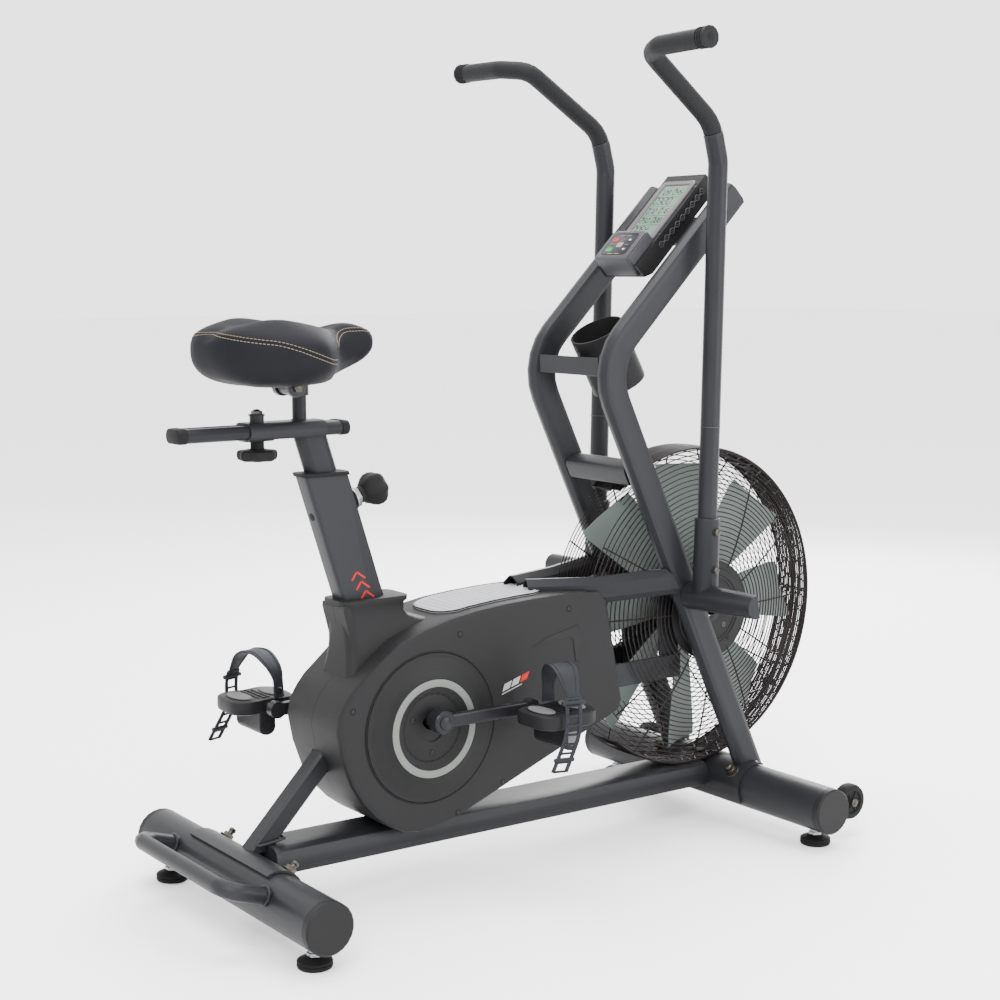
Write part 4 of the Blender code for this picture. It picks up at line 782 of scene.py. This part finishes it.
def make_pedal(side_name, side):
    centre = Vector((CRANK.x - side * CRANK_LENGTH, side * PEDAL_Y, CRANK.z))
    axis = (0, side, 0)
    piece = Piece("pedal_platform_" + side_name, "pedal_" + side_name, "pedal_plastic")
    curve = [(p.x, p.y) for p in smooth_line([(a, b * -side, 0) for a, b in PEDAL_OUTLINE], 5, closed=True)]

    def on(shift, face):
        return lambda a, b, h: centre + Vector((a + shift, b, face * h))

    body = ((-0.011, 0.004), (-0.0095, 0.001), (-0.006, 0), (0.006, 0), (0.0095, 0.001), (0.011, 0.004))
    piece.add(levels_of(curve, body, on(0, 1)))
    oval = circle(0.0145, 40, 0.029)
    lip = [(a * 1.14, b * 1.08) for a, b in oval]
    bar = rounded_box(0.003, 0.06, 0.0014, 3)
    for face in (1, -1):
        for middle in (-0.029, 0.029):
            piece.add(levels_of(lip, ((0.009, 0), (0.012, 0), (0.0124, 0.0008)), on(middle, face)))
            tread = levels_of(oval, ((0.01, 0), (0.0128, 0), (0.0133, 0.0012)), on(middle, face))
            piece.add(tread, "pedal_insert")
        for shift in (-0.0085, 0, 0.0085):
            piece.add(levels_of(bar, ((0.009, 0), (0.0118, 0), (0.0123, 0.0004)), on(shift, face)))
    half = [(0.014, -0.008), (0.014, -0.036), (0.0118, -0.0415), (0.0075, -0.0453)]
    low = [(-a, b) for a, b in half] + [(0, -0.047)] + half[::-1]
    ends = ((-0.04, 0.9), (-0.0385, 1.0), (0.0365, 1.0), (0.038, 0.9))
    piece.add(loft([[centre + Vector((a * s, side * y, -0.026 + (b + 0.026) * s)) for a, b in low]
                    for y, s in ends]))
    badge = [(a * 0.58, -0.029 + (b + 0.029) * 0.55) for a, b in low]
    rings = [[centre + Vector((a, side * y, b)) for a, b in badge] for y in (0.037, 0.0388)]
    piece.add(loft(rings), "pedal_insert")
    piece.add(lathe([(0.0066, 0.0375), (0.0095, 0.0375), (0.0105, 0.035), (0.011, 0.02)], centre, axis, 28))
    for y in (-0.03, -0.018, 0.018, 0.03):
        piece.add(ring(centre + aside(side * y), Y_AXIS, 0.0118, 0.0008, 28, 6), "black_rubber")
    piece.build("pedal_" + side_name)
    make_strap(side_name, side, centre)


def make_strap(side_name, side, centre):
    piece = Piece("foot_strap_" + side_name, "pedal_" + side_name, "black_rubber")
    inner = Vector((centre.x + 0.018, side * (PEDAL_Y - 0.044), CRANK.z))
    outer = Vector((centre.x - 0.012, side * (PEDAL_Y + 0.0565), CRANK.z))
    over = outer - inner
    path = bend([inner + UP * 0.0115, inner + over * 0.02 + UP * 0.052, inner + over * 0.34 + UP * 0.081,
                 inner + over * 0.72 + UP * 0.078, outer + UP * 0.034, outer - UP * 0.016,
                 outer + Vector((-0.03, side * 0.004, -0.068))], 0.018, 5)
    total, find = ruler(path)

    def at(s):
        i, t = find(s)
        return path[i].lerp(path[i + 1], t)

    across = over.cross(UP).normalized()
    plate = [at(total * 0.6 * i / 34) for i in range(35)]
    sizes = []
    for i in range(35):
        share = i / 34
        wide = 0.8 + 0.75 * math.sin(math.pi * min(1.0, max(0.0, (share - 0.18) / 0.75))) ** 0.8
        sizes.append((1.0, wide))
    piece.add(sweep(plate, rounded_box(0.003, 0.026, 0.0013, 3), across, sizes), "strap_rubber")
    for offset in (-0.34, 0.34):
        rib = [p + across * offset * 0.026 * s[1] + Vector((0, 0, 0.0003)) for p, s in zip(plate, sizes)]
        piece.add(sweep(rib[4:-2], rounded_box(0.0046, 0.0022, 0.001, 2), across), "strap_rubber")
    tail = [at(total * (0.58 + 0.42 * i / 26)) for i in range(27)]
    for offset in (-0.0105, 0.0105):
        side_rail = [p + across * offset for p in tail]
        piece.add(sweep(side_rail, rounded_box(0.0028, 0.0062, 0.001, 2), across), "strap_rubber")
    steps = int(total * 0.42 / 0.0135)
    rung = rounded_box(0.0054, 0.0028, 0.001, 2)
    for k in range(steps + 1):
        p = at(total * 0.58 + k * (total * 0.42 - 0.001) / steps)
        piece.add(sweep([p - across * 0.01, p + across * 0.01], rung, UP), "strap_rubber")
    for s, wide in ((0.615, 0.0185), (0.93, 0.016)):
        p = at(total * s)
        piece.add(rod(p - across * wide, p + across * wide, 0.0034, 16, 0.0012), "strap_rubber")
    stud = [(0, 0.003), (0.0045, 0.0025), (0.0058, 0), (0, 0)]
    piece.add(lathe(stud, at(total * 0.02) + UP * 0.006, (0, -side, 0), 20), "bolt_steel")
    piece.build("pedal_strap_" + side_name)


for side_name, side in SIDES:
    make_pedal(side_name, side)


# ------------ knobs, wheels, feet, seat details

LEAN = math.radians(18)
FORWARD = Vector((math.cos(LEAN), 0, math.sin(LEAN)))
PIN = Vector((-0.35078, 0, 0.59807))
RAIL_Z, CLAMP_X = 0.7185, -0.4735


def lobed(count, depth, beyond):
    """A wobble for lathe() that scallops what lies beyond a radius."""
    def wobble(t, radius):
        return 1 - depth * (0.5 - 0.5 * math.cos(count * t)) ** 0.7 if radius > beyond else 1.0
    return wobble


def make_knobs():
    knob = ((0.0042, 0), (0.01, 0), (0.01, 0.0108), (0.014, 0.0122), (0.026, 0.0126), (0.0292, 0.0142),
            (0.03, 0.017), (0.03, 0.0225), (0.0285, 0.0262), (0.024, 0.028), (0.012, 0.0272),
            (0.0105, 0.0258), (0, 0.0258))
    profile = [(0, 0.006), (0.0042, 0.006)] + [(radius, -0.01395 - depth) for radius, depth in knob]
    piece = Piece("rail_clamp_knob", "clamp_knob", "black_rubber")
    piece.add(lathe(profile, (CLAMP_X, 0, RAIL_Z), UP, 96, lobed(7, 0.16, 0.02)))
    piece.build("clamp_knob")
    knob = ((0.0042, -0.001), (0.0125, -0.001), (0.0125, 0.006), (0.016, 0.008), (0.0225, 0.015),
            (0.0262, 0.022), (0.0268, 0.03), (0.025, 0.037), (0.0205, 0.042), (0.0115, 0.0452),
            (0.0105, 0.044), (0, 0.044))
    profile = [(0, 0.0258), (0.0042, 0.0258)] + [(radius, 0.05 + height) for radius, height in knob]
    piece = Piece("seat_height_knob", "pop_pin", "black_rubber")
    piece.add(lathe(profile, PIN, FORWARD, 96, lobed(6, 0.13, 0.018)))
    piece.build("pop_pin")
    nut = Piece("pin_nut", "frame", "dark_steel")
    nut.add(hexagon(PIN + FORWARD * 0.04, FORWARD, 0.0158, 0.0075), "zinc")
    washer = [(0.0132, 0), (0.0172, 0), (0.0172, 0.0014), (0.0132, 0.0014)]
    nut.add(lathe(washer, PIN + FORWARD * 0.038, FORWARD, 32), "zinc")
    # painted shade: a dark disc standing for the hole the pin goes into
    hole = [(0, 0.0006), (0.0058, 0.0006), (0.0058, -0.002)]
    nut.add(lathe(hole, PIN - FORWARD * 0.0355, -FORWARD, 24), "hole_dark")
    nut.build()
    ends = Piece("rail_end_caps", "seat_post", "black_rubber")
    for x, facing in ((-0.6072, 1), (-0.3286, -1)):
        path = [(x + facing * step, 0, RAIL_Z) for step in (0, 0.0015, 0.006, 0.014)]
        ends.add(sweep(path, rounded_box(0.0222, 0.0468, 0.011, 6), sizes=[0.8, 0.94, 1.0, 1.0]))
    ends.build()
    bolt = Piece("rail_clamp_bolt", "saddle_carriage", "dark_steel")
    washer = [(0, 0.0022), (0.0115, 0.0022), (0.0125, 0.001), (0.0125, 0)]
    bolt.add(lathe(washer, (CLAMP_X, 0, 0.7418), UP, 32))
    bolt.add(hexagon((CLAMP_X, 0, 0.7438), UP, 0.0082, 0.0048, 0.0025), "bolt_steel")
    bolt.add(ring((-0.4035, 0, 0.7318), UP, 0.0112, 0.0018, 36, 8), "frame_paint")
    bolt.build()
    clamp = Piece("saddle_clamp_nuts", "saddle", "dark_steel")
    for side in (-1, 1):
        place = Vector((-0.4205, side * 0.0255, 0.7815))
        clamp.add(hexagon(place, (0, side, 0), 0.0078, 0.0048), "bolt_steel")
        for t in turns(24):
            ends = [place + spoke(t, 0.0138, side * y) for y in (-0.0105, -0.001)]
            clamp.add(rod(*ends, 0.0013, 6))
    clamp.build()


def make_wheels_and_feet():
    half = [(0.0046, 0.0108), (0.0085, 0.011), (0.01, 0.0078), (0.018, 0.0078), (0.0196, 0.0104),
            (0.0245, 0.011), (0.0285, 0.0092), (0.03, 0.005)]
    tyre = [(radius, -y) for radius, y in half] + half[::-1] + [(0.0046, -0.0108)]
    for side_name, side in SIDES:
        node = "transport_wheel_" + side_name
        centre = Vector((0.502, side * 0.255, 0.059))
        piece = Piece("wheel_" + side_name, BODY_OF[node], "black_rubber")
        piece.add(lathe(tyre, centre, (0, side, 0), 56))
        for t in turns(6):
            for y in (-0.0085, 0.0085):
                ends = [centre + spoke(t, radius, y) for radius in (0.0085, 0.0195)]
                piece.add(rod(*ends, 0.0013, 8), "disc_plastic")
        piece.build(node)
        pin = Piece("wheel_axle_cap_" + side_name, "frame", "dark_steel")
        pin.add(hexagon(centre + aside(side * 0.0118), (0, side, 0), 0.0072, 0.0035, 0.0018), "bolt_steel")
        pin.build()
    foot = [(0, 0), (0.022, 0), (0.0243, 0.001), (0.0252, 0.003), (0.0252, 0.0062), (0.0238, 0.007),
            (0.0238, 0.0078), (0.0252, 0.0086), (0.025, 0.0108), (0.0215, 0.0128), (0.015, 0.0148),
            (0.013, 0.0165), (0, 0.0168)]
    for end, x, y in (("rear", -0.517, 0.219), ("front", 0.425, 0.254)):
        for side_name, side in SIDES:
            node = end + "_foot_" + side_name
            place = Vector((x, side * y, 0))
            piece = Piece("levelling_" + node, BODY_OF[node], "black_rubber")
            piece.add(lathe(foot, place, UP, 48, lobed(24, 0.02, 0.0237)))
            piece.add(rod(place + UP * 0.016, place + UP * 0.0265, 0.0086, 24), "zinc")
            piece.add(hexagon(place + UP * 0.0172, UP, 0.0118, 0.005), "zinc")
            piece.build(node)


make_knobs()
make_wheels_and_feet()


# ------------ console

CONSOLE = Matrix.Translation((0.2185, 0, 0.9325)) @ Matrix.Rotation(-math.radians(45), 4, "Y")
FACING = CONSOLE.to_3x3() @ UP
SEGMENTS = {"0": "abcdef", "1": "bc", "2": "abged", "3": "abgcd", "4": "fgbc", "5": "afgcd", "6": "afgedc",
            "7": "abc", "8": "abcdefg"}
INK_LOW, INK_HIGH = 0.0322, 0.0328  # above the console's face


def on_console(a, b, h):
    """A point from its place uphill and across on the console, and its height off the bracket."""
    return CONSOLE @ Vector((a, b, h))


def flat_bar(a, b, length, width, low, high):
    """A bar on the console's face: centre, length uphill, width across."""
    outline = rounded_box(length, width, min(length, width) * 0.3, 2)
    return slab([(a + p, b + q) for p, q in outline], low, high, on_console)


def digit(a, b, size, figure):
    """One seven-segment figure, its foot at a and its middle at b."""
    half, thick = size * 0.27, size * 0.11
    marks = {"a": (size, 0), "g": (size / 2, 0), "d": (0, 0), "f": (size * 0.75, half),
             "b": (size * 0.75, -half), "e": (size * 0.25, half), "c": (size * 0.25, -half)}
    shapes = []
    for key in SEGMENTS[figure]:
        up, across = marks[key]
        long_way, wide_way = (size * 0.4, thick) if across else (thick, half * 1.5)
        shapes.append(flat_bar(a + up, b + across, long_way, wide_way, INK_LOW, INK_HIGH))
    return shapes


def make_console():
    piece = Piece("console_bezel", "frame", "housing_plastic")
    rings = []
    for grow, height in ((0.01, 0.03), (0.01, 0.0336), (0.0088, 0.0346), (0.0018, 0.0346),
                         (0.0004, 0.0334), (0.0004, 0.03)):
        outline = rounded_box(0.119 + 2 * grow, 0.061 + 2 * grow, 0.003 + grow * 0.5, 5)
        rings.append([on_console(0.1275 + a, b, height) for a, b in outline])
    piece.add(loft(rings, capped=False), "bezel")
    for b in (-0.0455, 0.0455):
        for a in (0.072, 0.184):
            piece.add(disc(on_console(a, b, 0.0309), FACING, 0.0009, 0.0026, 0.003, 18), "bolt_steel")
    pad, panel, rim = ([(0.03 + a, b) for a, b in rounded_box(*size)] for size in (
        (0.0655, 0.0845, 0.007, 5), (0.05, 0.065, 0.009, 6), (0.052, 0.067, 0.0095, 6)))
    piece.add(slab(pad, 0.012, 0.0509, on_console, 0.0022), "keypad_grey")
    piece.add(slab(panel, 0.05, 0.05125, on_console, 0.0003), "panel_black")
    loop = [on_console(a, b, 0.0511) for a, b in rim]
    piece.add(sweep(loop, circle(0.0006, 6), FACING, closed=True), "bezel")
    for a in (-1, 1):
        for b in (-1, 1):
            piece.add(flat_bar(0.029 + a * 0.0205, b * 0.0045, 0.0012, 0.018, 0.051, 0.0515), "key_silver")
            piece.add(flat_bar(0.029, b * 0.0175, 0.0012, 0.011, 0.051, 0.0515), "key_silver")
    step = 0.0155
    for k in range(9):
        for side in (-1, 1):
            place = on_console(0.062 + step * k, side * (0.05 + 0.0018 * math.sin(math.pi * k / 8)), 0.0185)
            half = Vector((0.0022, 0, 0.0006))
            piece.add(ring(place, Y_AXIS, 0.0044, 0.0009, 20, 8), "keypad_grey")
            piece.add(rod(place - half, place + half, 0.0007, 6), "keypad_grey")
            for lift in (-0.0022, 0.0022) if k < 8 else ():
                ends = [on_console(a + step * k, side * 0.0512, 0.0185 + h)
                        for a, h in ((0.0665, lift), (0.073, -lift))]
                piece.add(rod(*ends, 0.0008, 6), "keypad_grey")
    piece.build()
    ink = Piece("console_digits", "frame", "lcd_screen")
    rows = ((0.165, 0.011, "128", "045"), (0.143, 0.015, "0320", ""), (0.121, 0.011, "072", "016"),
            (0.099, 0.011, "250", "088"), (0.077, 0.013, "0064", ""))
    for foot, size, left, right in rows:
        for text, start in ((left, 0.0235), (right, -0.0065)):
            for i, figure in enumerate(text):
                ink.add(digit(foot, start - i * size * 0.72, size, figure), "lcd_ink")
        bars = [(foot - 0.0052, 0, 0.0006, 0.056), (foot + size + 0.002, 0.0245, 0.0014, 0.0075)]
        if right:
            bars.append((foot + size + 0.002, -0.006, 0.0014, 0.0075))
        for bar in bars:
            ink.add(flat_bar(*bar, INK_LOW, 0.0327), "lcd_ink")
    ink.build()
    for name, a, point in (("key_up", 0.04, 1), ("key_down", 0.018, -1)):
        arrow = Piece("mark_" + name, BODY_OF[name], "key_white")
        base = a - point * 0.0018
        outline = [(a + point * 0.0022, -0.018), (base, -0.0215), (base, -0.0145)]
        arrow.add(slab(outline, 0.0514, 0.0521, on_console), "key_mark")
        arrow.build()


make_console()


# ------------ housing details

def tree_of(*nodes):
    """A search tree of CAD nodes' surfaces, in the shared frame."""
    vertices, faces = [], []
    for node in nodes:
        item = NODES[node]
        base = len(vertices)
        vertices += [item.matrix_world @ v.co for v in item.data.vertices]
        faces += [[base + i for i in p.vertices] for p in item.data.polygons]
    return BVHTree.FromPolygons(vertices, faces)


HOUSING = tree_of("housing_cover_right", "housing_cover_left")


def housing_top(x):
    """The housing's highest point over four places across it."""
    hits = [HOUSING.ray_cast(Vector((x, y, 0.7)), -UP)[0] for y in (-0.045, -0.02, 0.02, 0.045)]
    return max(hit.z for hit in hits if hit)


def make_step_pad():
    piece = Piece("step_pad", "frame", "housing_plastic")
    rear, front, half, corner = -0.188, 0.016, 0.054, 0.038

    def reach(x):
        """The pad's half width, rounded off at both ends."""
        near = min(x - rear, front - x)
        if near >= corner:
            return half
        return half - corner + math.sqrt(max(0.0, corner ** 2 - (corner - near) ** 2))

    rings, rim = [], []
    for i in range(41):
        x = rear + (front - rear) * (0.5 - 0.5 * math.cos(math.pi * i / 40))
        wide, z = max(reach(x), 0.014), housing_top(x) + 0.0028
        section = ((-wide, z - 0.004), (-wide + 0.0006, z), (wide - 0.0006, z), (wide, z - 0.004))
        rings.append([Vector((x, y, h)) for y, h in section])
        rim.append((x, wide + 0.0008, z - 0.0003))
    piece.add(loft(rings), "step_pad")
    loop = [Vector(p) for p in rim] + [Vector((x, -y, z)) for x, y, z in reversed(rim)]
    piece.add(sweep(loop, circle(0.0012, 6), UP, closed=True))
    for i in range(19):
        for j in range(-6, 7):
            x = rear + 0.008 + i * 0.0106
            y = j * 0.0082 + (0.0041 if i % 2 else 0)
            if abs(y) < reach(x) - 0.0045 and rear + 0.004 < x < front - 0.004:
                place = Vector((x, y, housing_top(x) + 0.0027))
                piece.add(lathe([(0.003, 0), (0.0024, 0.0009), (0, 0.0012)], place, (-0.12, 0, 1), 8), "step_pad")
    piece.build()


def flat_on_side(side, outline, low, high, soft=0.0):
    """A slab on the housing's side, from an (x, z) outline."""
    return slab(outline, low, high, lambda a, b, h: Vector((a, side * h, b)), soft)


def make_side_details(side_name, side):
    piece = Piece("housing_details_" + side_name, "frame", "housing_plastic")
    axis = (0, side, 0)
    for x, z in ((-0.3655, 0.3063), (-0.1735, 0.3986), (0.0374, 0.4141), (-0.0921, 0.153), (-0.1783, 0.1204)):
        place = Vector((x, side * 0.0776, z))
        # painted shade: a dark disc round each screw for the shade in its recess
        recess = [(0, 0.0007), (0.0048, 0.0007), (0.0056, 0.0004), (0.006, -0.0005)]
        piece.add(lathe(recess, place, axis, 24), "hole_dark")
        head = [(0, 0.0016), (0.0019, 0.0016), (0.0031, 0.0009), (0.0031, 0)]
        piece.add(lathe(head, place, axis, 20), "panel_black")
    band = [(0.0641, 0.0866), (0.0645, 0.0878), (0.0655, 0.088), (0.0744, 0.088), (0.0754, 0.0878),
            (0.0758, 0.0866)]
    skin = [(0.115, 0.0786), (0.1146, 0.0797), (0.11, 0.0801), (0.104, 0.0801), (0.1015, 0.0809),
            (0.09, 0.0826), (0.083, 0.0844), (0.0766, 0.0874), (0.0757, 0.0864)]
    inner = [(0.0636, 0.0868), (0.056, 0.0818), (0.0522, 0.0795), (0.0508, 0.0803), (0.0496, 0.0808),
             (0.03, 0.0808), (0.0215, 0.0808)]
    for profile, material in ((band, "ring_silver"), (skin, "disc_plastic"), (inner, "disc_plastic")):
        piece.add(lathe(profile, DISC, axis, 112), material)
    # painted shade: a dark ring for the shade in the groove at the disc's edge
    piece.add(ring(DISC + aside(side * 0.0788), Y_AXIS, 0.1166, 0.0011, 120, 6), "hole_dark")
    for degrees in (155, 25, 270):
        place = DISC + spoke(math.radians(degrees), 0.0385, side * 0.0806)
        seat = [(0.0052, 0.0001), (0.0052, 0.0007), (0.004, 0.0007), (0.0038, 0.0001)]
        piece.add(lathe(seat, place, axis, 24), "disc_plastic")
        head = [(0, 0.001), (0.0022, 0.001), (0.0032, 0.0005), (0.0032, 0)]
        piece.add(lathe(head, place, axis, 20), "dark_steel")
        # painted shade: a dark disc in the screw head's socket
        piece.add(disc(place, axis, 0.0012, 0.001, 0.001, 6), "hole_dark")
    relief = [(-0.034, 0.362), (-0.004, 0.3735), (0.056, 0.3865), (0.0605, 0.38), (0.06, 0.326),
              (0.053, 0.326), (0.048, 0.365), (0.04, 0.37)]
    piece.add(flat_on_side(side, relief, 0.074, 0.079, 0.0011))
    for start, material in ((-0.0935, "flash_grey"), (-0.0765, "flash_grey"), (-0.0595, "flash_red")):
        low, high = ([(a, foot + (a + 0.09) * 0.3) for a in (start, start + 0.014)]
                     for foot in (0.299, 0.3105))
        bar = low + [(a + 0.0045, b) for a, b in reversed(high)]
        piece.add(flat_on_side(side, bar, 0.0772, 0.0784), material)
    thin = [(-0.0945, 0.293), (-0.056, 0.3045), (-0.0553, 0.3062), (-0.0938, 0.2947)]
    piece.add(flat_on_side(side, thin, 0.0772, 0.0784), "flash_grey")
    cap = [(0, 0.0034), (0.008, 0.0034), (0.0096, 0.0024), (0.0104, 0)]
    piece.add(lathe(cap, CRANK + aside(side * 0.1148), axis, 40), "dark_steel")
    piece.build()


def make_seat_tube_details():
    """Three plain chevrons on each side of the seat tube's foot."""
    piece = Piece("seat_tube_details", "frame", "frame_paint")
    chevron = ((-0.312, 0.4592), (-0.3038, 0.4712), (-0.2889, 0.4608))
    for side in (-1, 1):
        for k in range(3):
            shift = Vector((-0.0078, 0.015)) * k
            left, apex, right = (Vector(p) + shift for p in chevron)
            for a, b in ((left, apex), (apex, right)):
                along = (b - a).normalized()
                off = Vector((-along.y, along.x)) * 0.0014
                piece.add(flat_on_side(side, [a + off, a - off, b - off, b + off], 0.017, 0.018), "flash_red")
    piece.build()


def make_collar():
    """The flared collar, with its flange, where the seat tube leaves the housing."""
    levels = ((0.4606, 0.4606, -0.35, -0.236, 0.0325), (0.46, 0.46, -0.352, -0.233, 0.034),
              (0.4535, 0.4535, -0.352, -0.233, 0.034), (0.45, 0.4495, -0.349, -0.238, 0.0322),
              (0.435, 0.437, -0.346, -0.2375, 0.0318), (0.415, 0.4295, -0.3445, -0.23, 0.0325),
              (0.395, 0.424, -0.344, -0.215, 0.035), (0.37, 0.4195, -0.345, -0.195, 0.0395),
              (0.345, 0.412, -0.35, -0.172, 0.045), (0.322, 0.398, -0.357, -0.15, 0.05))
    rings = []
    for z_rear, z_front, rear, front, half in levels:
        outline = rounded_box(front - rear, 2 * half, 0.016, 8)
        middle = (front + rear) / 2
        slope = (z_front - z_rear) / (front - rear)
        rings.append([Vector((middle + a, b, z_rear + slope * (middle + a - rear))) for a, b in outline])
    piece = Piece("seat_tube_collar", "frame", "housing_plastic")
    piece.add(loft(rings))
    piece.build()


make_collar()
make_step_pad()
for side_name, side in SIDES:
    make_side_details(side_name, side)
make_seat_tube_details()


# ------------ nuts, bolts, weld beads

def weld_bead(piece, centre, axis, radius, thick, count=44):
    """A lumpy ring of weld."""
    axis, first, second = axes_of(axis)
    centre = Vector(centre)
    path, sizes = [], []
    for t in turns(count):
        away = radius + 0.0003 * math.sin(9 * t)
        path.append(centre + (first * math.cos(t) + second * math.sin(t)) * away)
        sizes.append(1 + 0.16 * math.sin(22 * t))
    piece.add(sweep(path, circle(thick, 8), axis, sizes, closed=True))


def make_fasteners():
    piece = Piece("frame_fasteners", "frame", "dark_steel")
    stud = [(0.0052, 0), (0.006, 0.002), (0.0046, 0.0052), (0, 0.0066)]
    for x, facing in ((-0.517, 1), (0.417, -1)):
        for y in (-0.095, 0.095):
            t = math.radians(42)
            out = Vector((facing * math.cos(t), 0, math.sin(t)))
            place = Vector((x, y, 0.066)) + out * 0.0423
            for shape in ([disc(place, out, 0.0016, 0.0118, 0.0124, 32)],
                          hexagon(place + out * 0.0014, out, 0.0084, 0.0062),
                          [rod(place + out * 0.006, place + out * 0.0125, 0.0048, 20, 0.0008)],
                          [lathe(stud, place + out * 0.0115, out, 20)]):
                piece.add(shape, "bolt_steel")
    piece.build()
    beads = Piece("weld_beads", "frame", "frame_paint")
    plug = [(-0.4763, 0, 0.0873), (-0.469, 0, 0.0872)]  # closes the beam's rear end
    beads.add(sweep(plug, rounded_box(0.0436, 0.0896, 0.0158, 6)))
    foot = [Vector((-0.47 + a, b, 0.1115 + (a + 0.02) * 0.1)) for a, b in rounded_box(0.046, 0.034, 0.004, 4)]
    beads.add(sweep(foot, circle(0.0024, 8), UP, closed=True))
    for side in (-1, 1):
        weld_bead(beads, (-0.552, side * 0.142, 0.0865), (-0.95, 0, 0.31), 0.0126, 0.0024)
        weld_bead(beads, (0.478, side * 0.241, 0.06), (1, 0, 0), 0.011, 0.0018)
    beads.build()
    for side_name, side in SIDES:
        arm = Piece("arm_fasteners_" + side_name, "arm_" + side_name, "frame_paint")
        for x, z in ((0.2765, 0.526), (0.2755, 0.4635)):
            place = Vector((x, side * 0.16, z))
            arm.add(disc(place, (0, side, 0), 0.0022, 0.0072, 0.0078, 28), "dark_steel")
            arm.add(hexagon(place + aside(side * 0.002), (0, side, 0), 0.0058, 0.0036), "bolt_steel")
        arm.add(ring((0.2793, side * 0.14, 0.696), (0.0205, 0, 1), 0.0161, 0.0007, 40, 6), "keypad_grey")
        arm.add(ring((0.2765, side * 0.14, 0.5455), (0.0205, 0, 1), 0.019, 0.0022, 40, 8))
        arm.build()
    for side_name, side in SIDES:
        ridges = Piece("grip_ridges_" + side_name, "arm_" + side_name, "grip_foam")
        node = NODES["arm_grip_" + side_name]
        outer = max((node.matrix_world @ v.co for v in node.data.vertices), key=lambda p: side * p.y)
        tip = Vector((0.1065, outer.y - side * 0.001, 1.283))
        for k in range(3):
            ridges.add(ring(tip - aside(side * (0.009 + 0.005 * k)), Y_AXIS, 0.0153, 0.0009, 40, 6))
        ridges.add(lathe([(0, 0.0012), (0.006, 0.001), (0.0074, 0)], tip, (0, side, 0), 32), "black_rubber")
        ridges.build()


make_fasteners()


# ------------ floor, light and camera

def area_light(name, place, target, size, power):
    data = bpy.data.lights.new(name, "AREA")
    data.shape = "RECTANGLE"
    data.size, data.size_y = size
    data.energy = power
    item = linked(name, data)
    item.location = place
    item.rotation_euler = (Vector(target) - Vector(place)).to_track_quat("-Z", "Y").to_euler()


WORLD_STRENGTH = 2.9  # the finishes' dark colours are set for this bright, white world


def make_studio():
    mesh = bpy.data.meshes.new("floor")
    reach = 30
    corners = [(-reach, -reach, 0), (reach, -reach, 0), (reach, reach, 0), (-reach, reach, 0)]
    mesh.from_pydata(corners, [], [(0, 1, 2, 3)])
    floor = linked("floor", mesh)
    mesh.materials.append(surface("floor", (0.92, 0.92, 0.925), 0.7, 0, (0.6, 0.004), 0.02, (200, 0.0),
                                  specular=0.2))
    world = bpy.data.worlds.new("studio")
    world.use_nodes = True
    background = world.node_tree.nodes["Background"]
    background.inputs["Color"].default_value = (1, 1, 1, 1)
    background.inputs["Strength"].default_value = WORLD_STRENGTH
    bpy.context.scene.world = world
    area_light("key", (-2.6, -2.4, 3.2), (0, 0, 0.6), (2.2, 2.2), 210)
    area_light("top", (0.2, 0.2, 3.4), (0, 0, 0.5), (2.6, 2.0), 170)
    area_light("rim", (2.4, 1.8, 2.0), (0, 0, 0.6), (1.6, 2.2), 150)
    area_light("front", (1.6, -3.0, 1.2), (0.2, 0, 0.5), (1.4, 1.8), 85)


def make_camera():
    data = bpy.data.cameras.new("camera")
    data.lens = 63.95
    data.sensor_width = 36
    data.shift_x = 0.00303
    data.shift_y = -0.00445
    item = linked("camera", data)
    item.location = (-1.6975, -2.2502, 0.9503)
    item.rotation_euler = (math.radians(82.721), 0, math.radians(-36.266))
    bpy.context.scene.camera = item


make_studio()
make_camera()
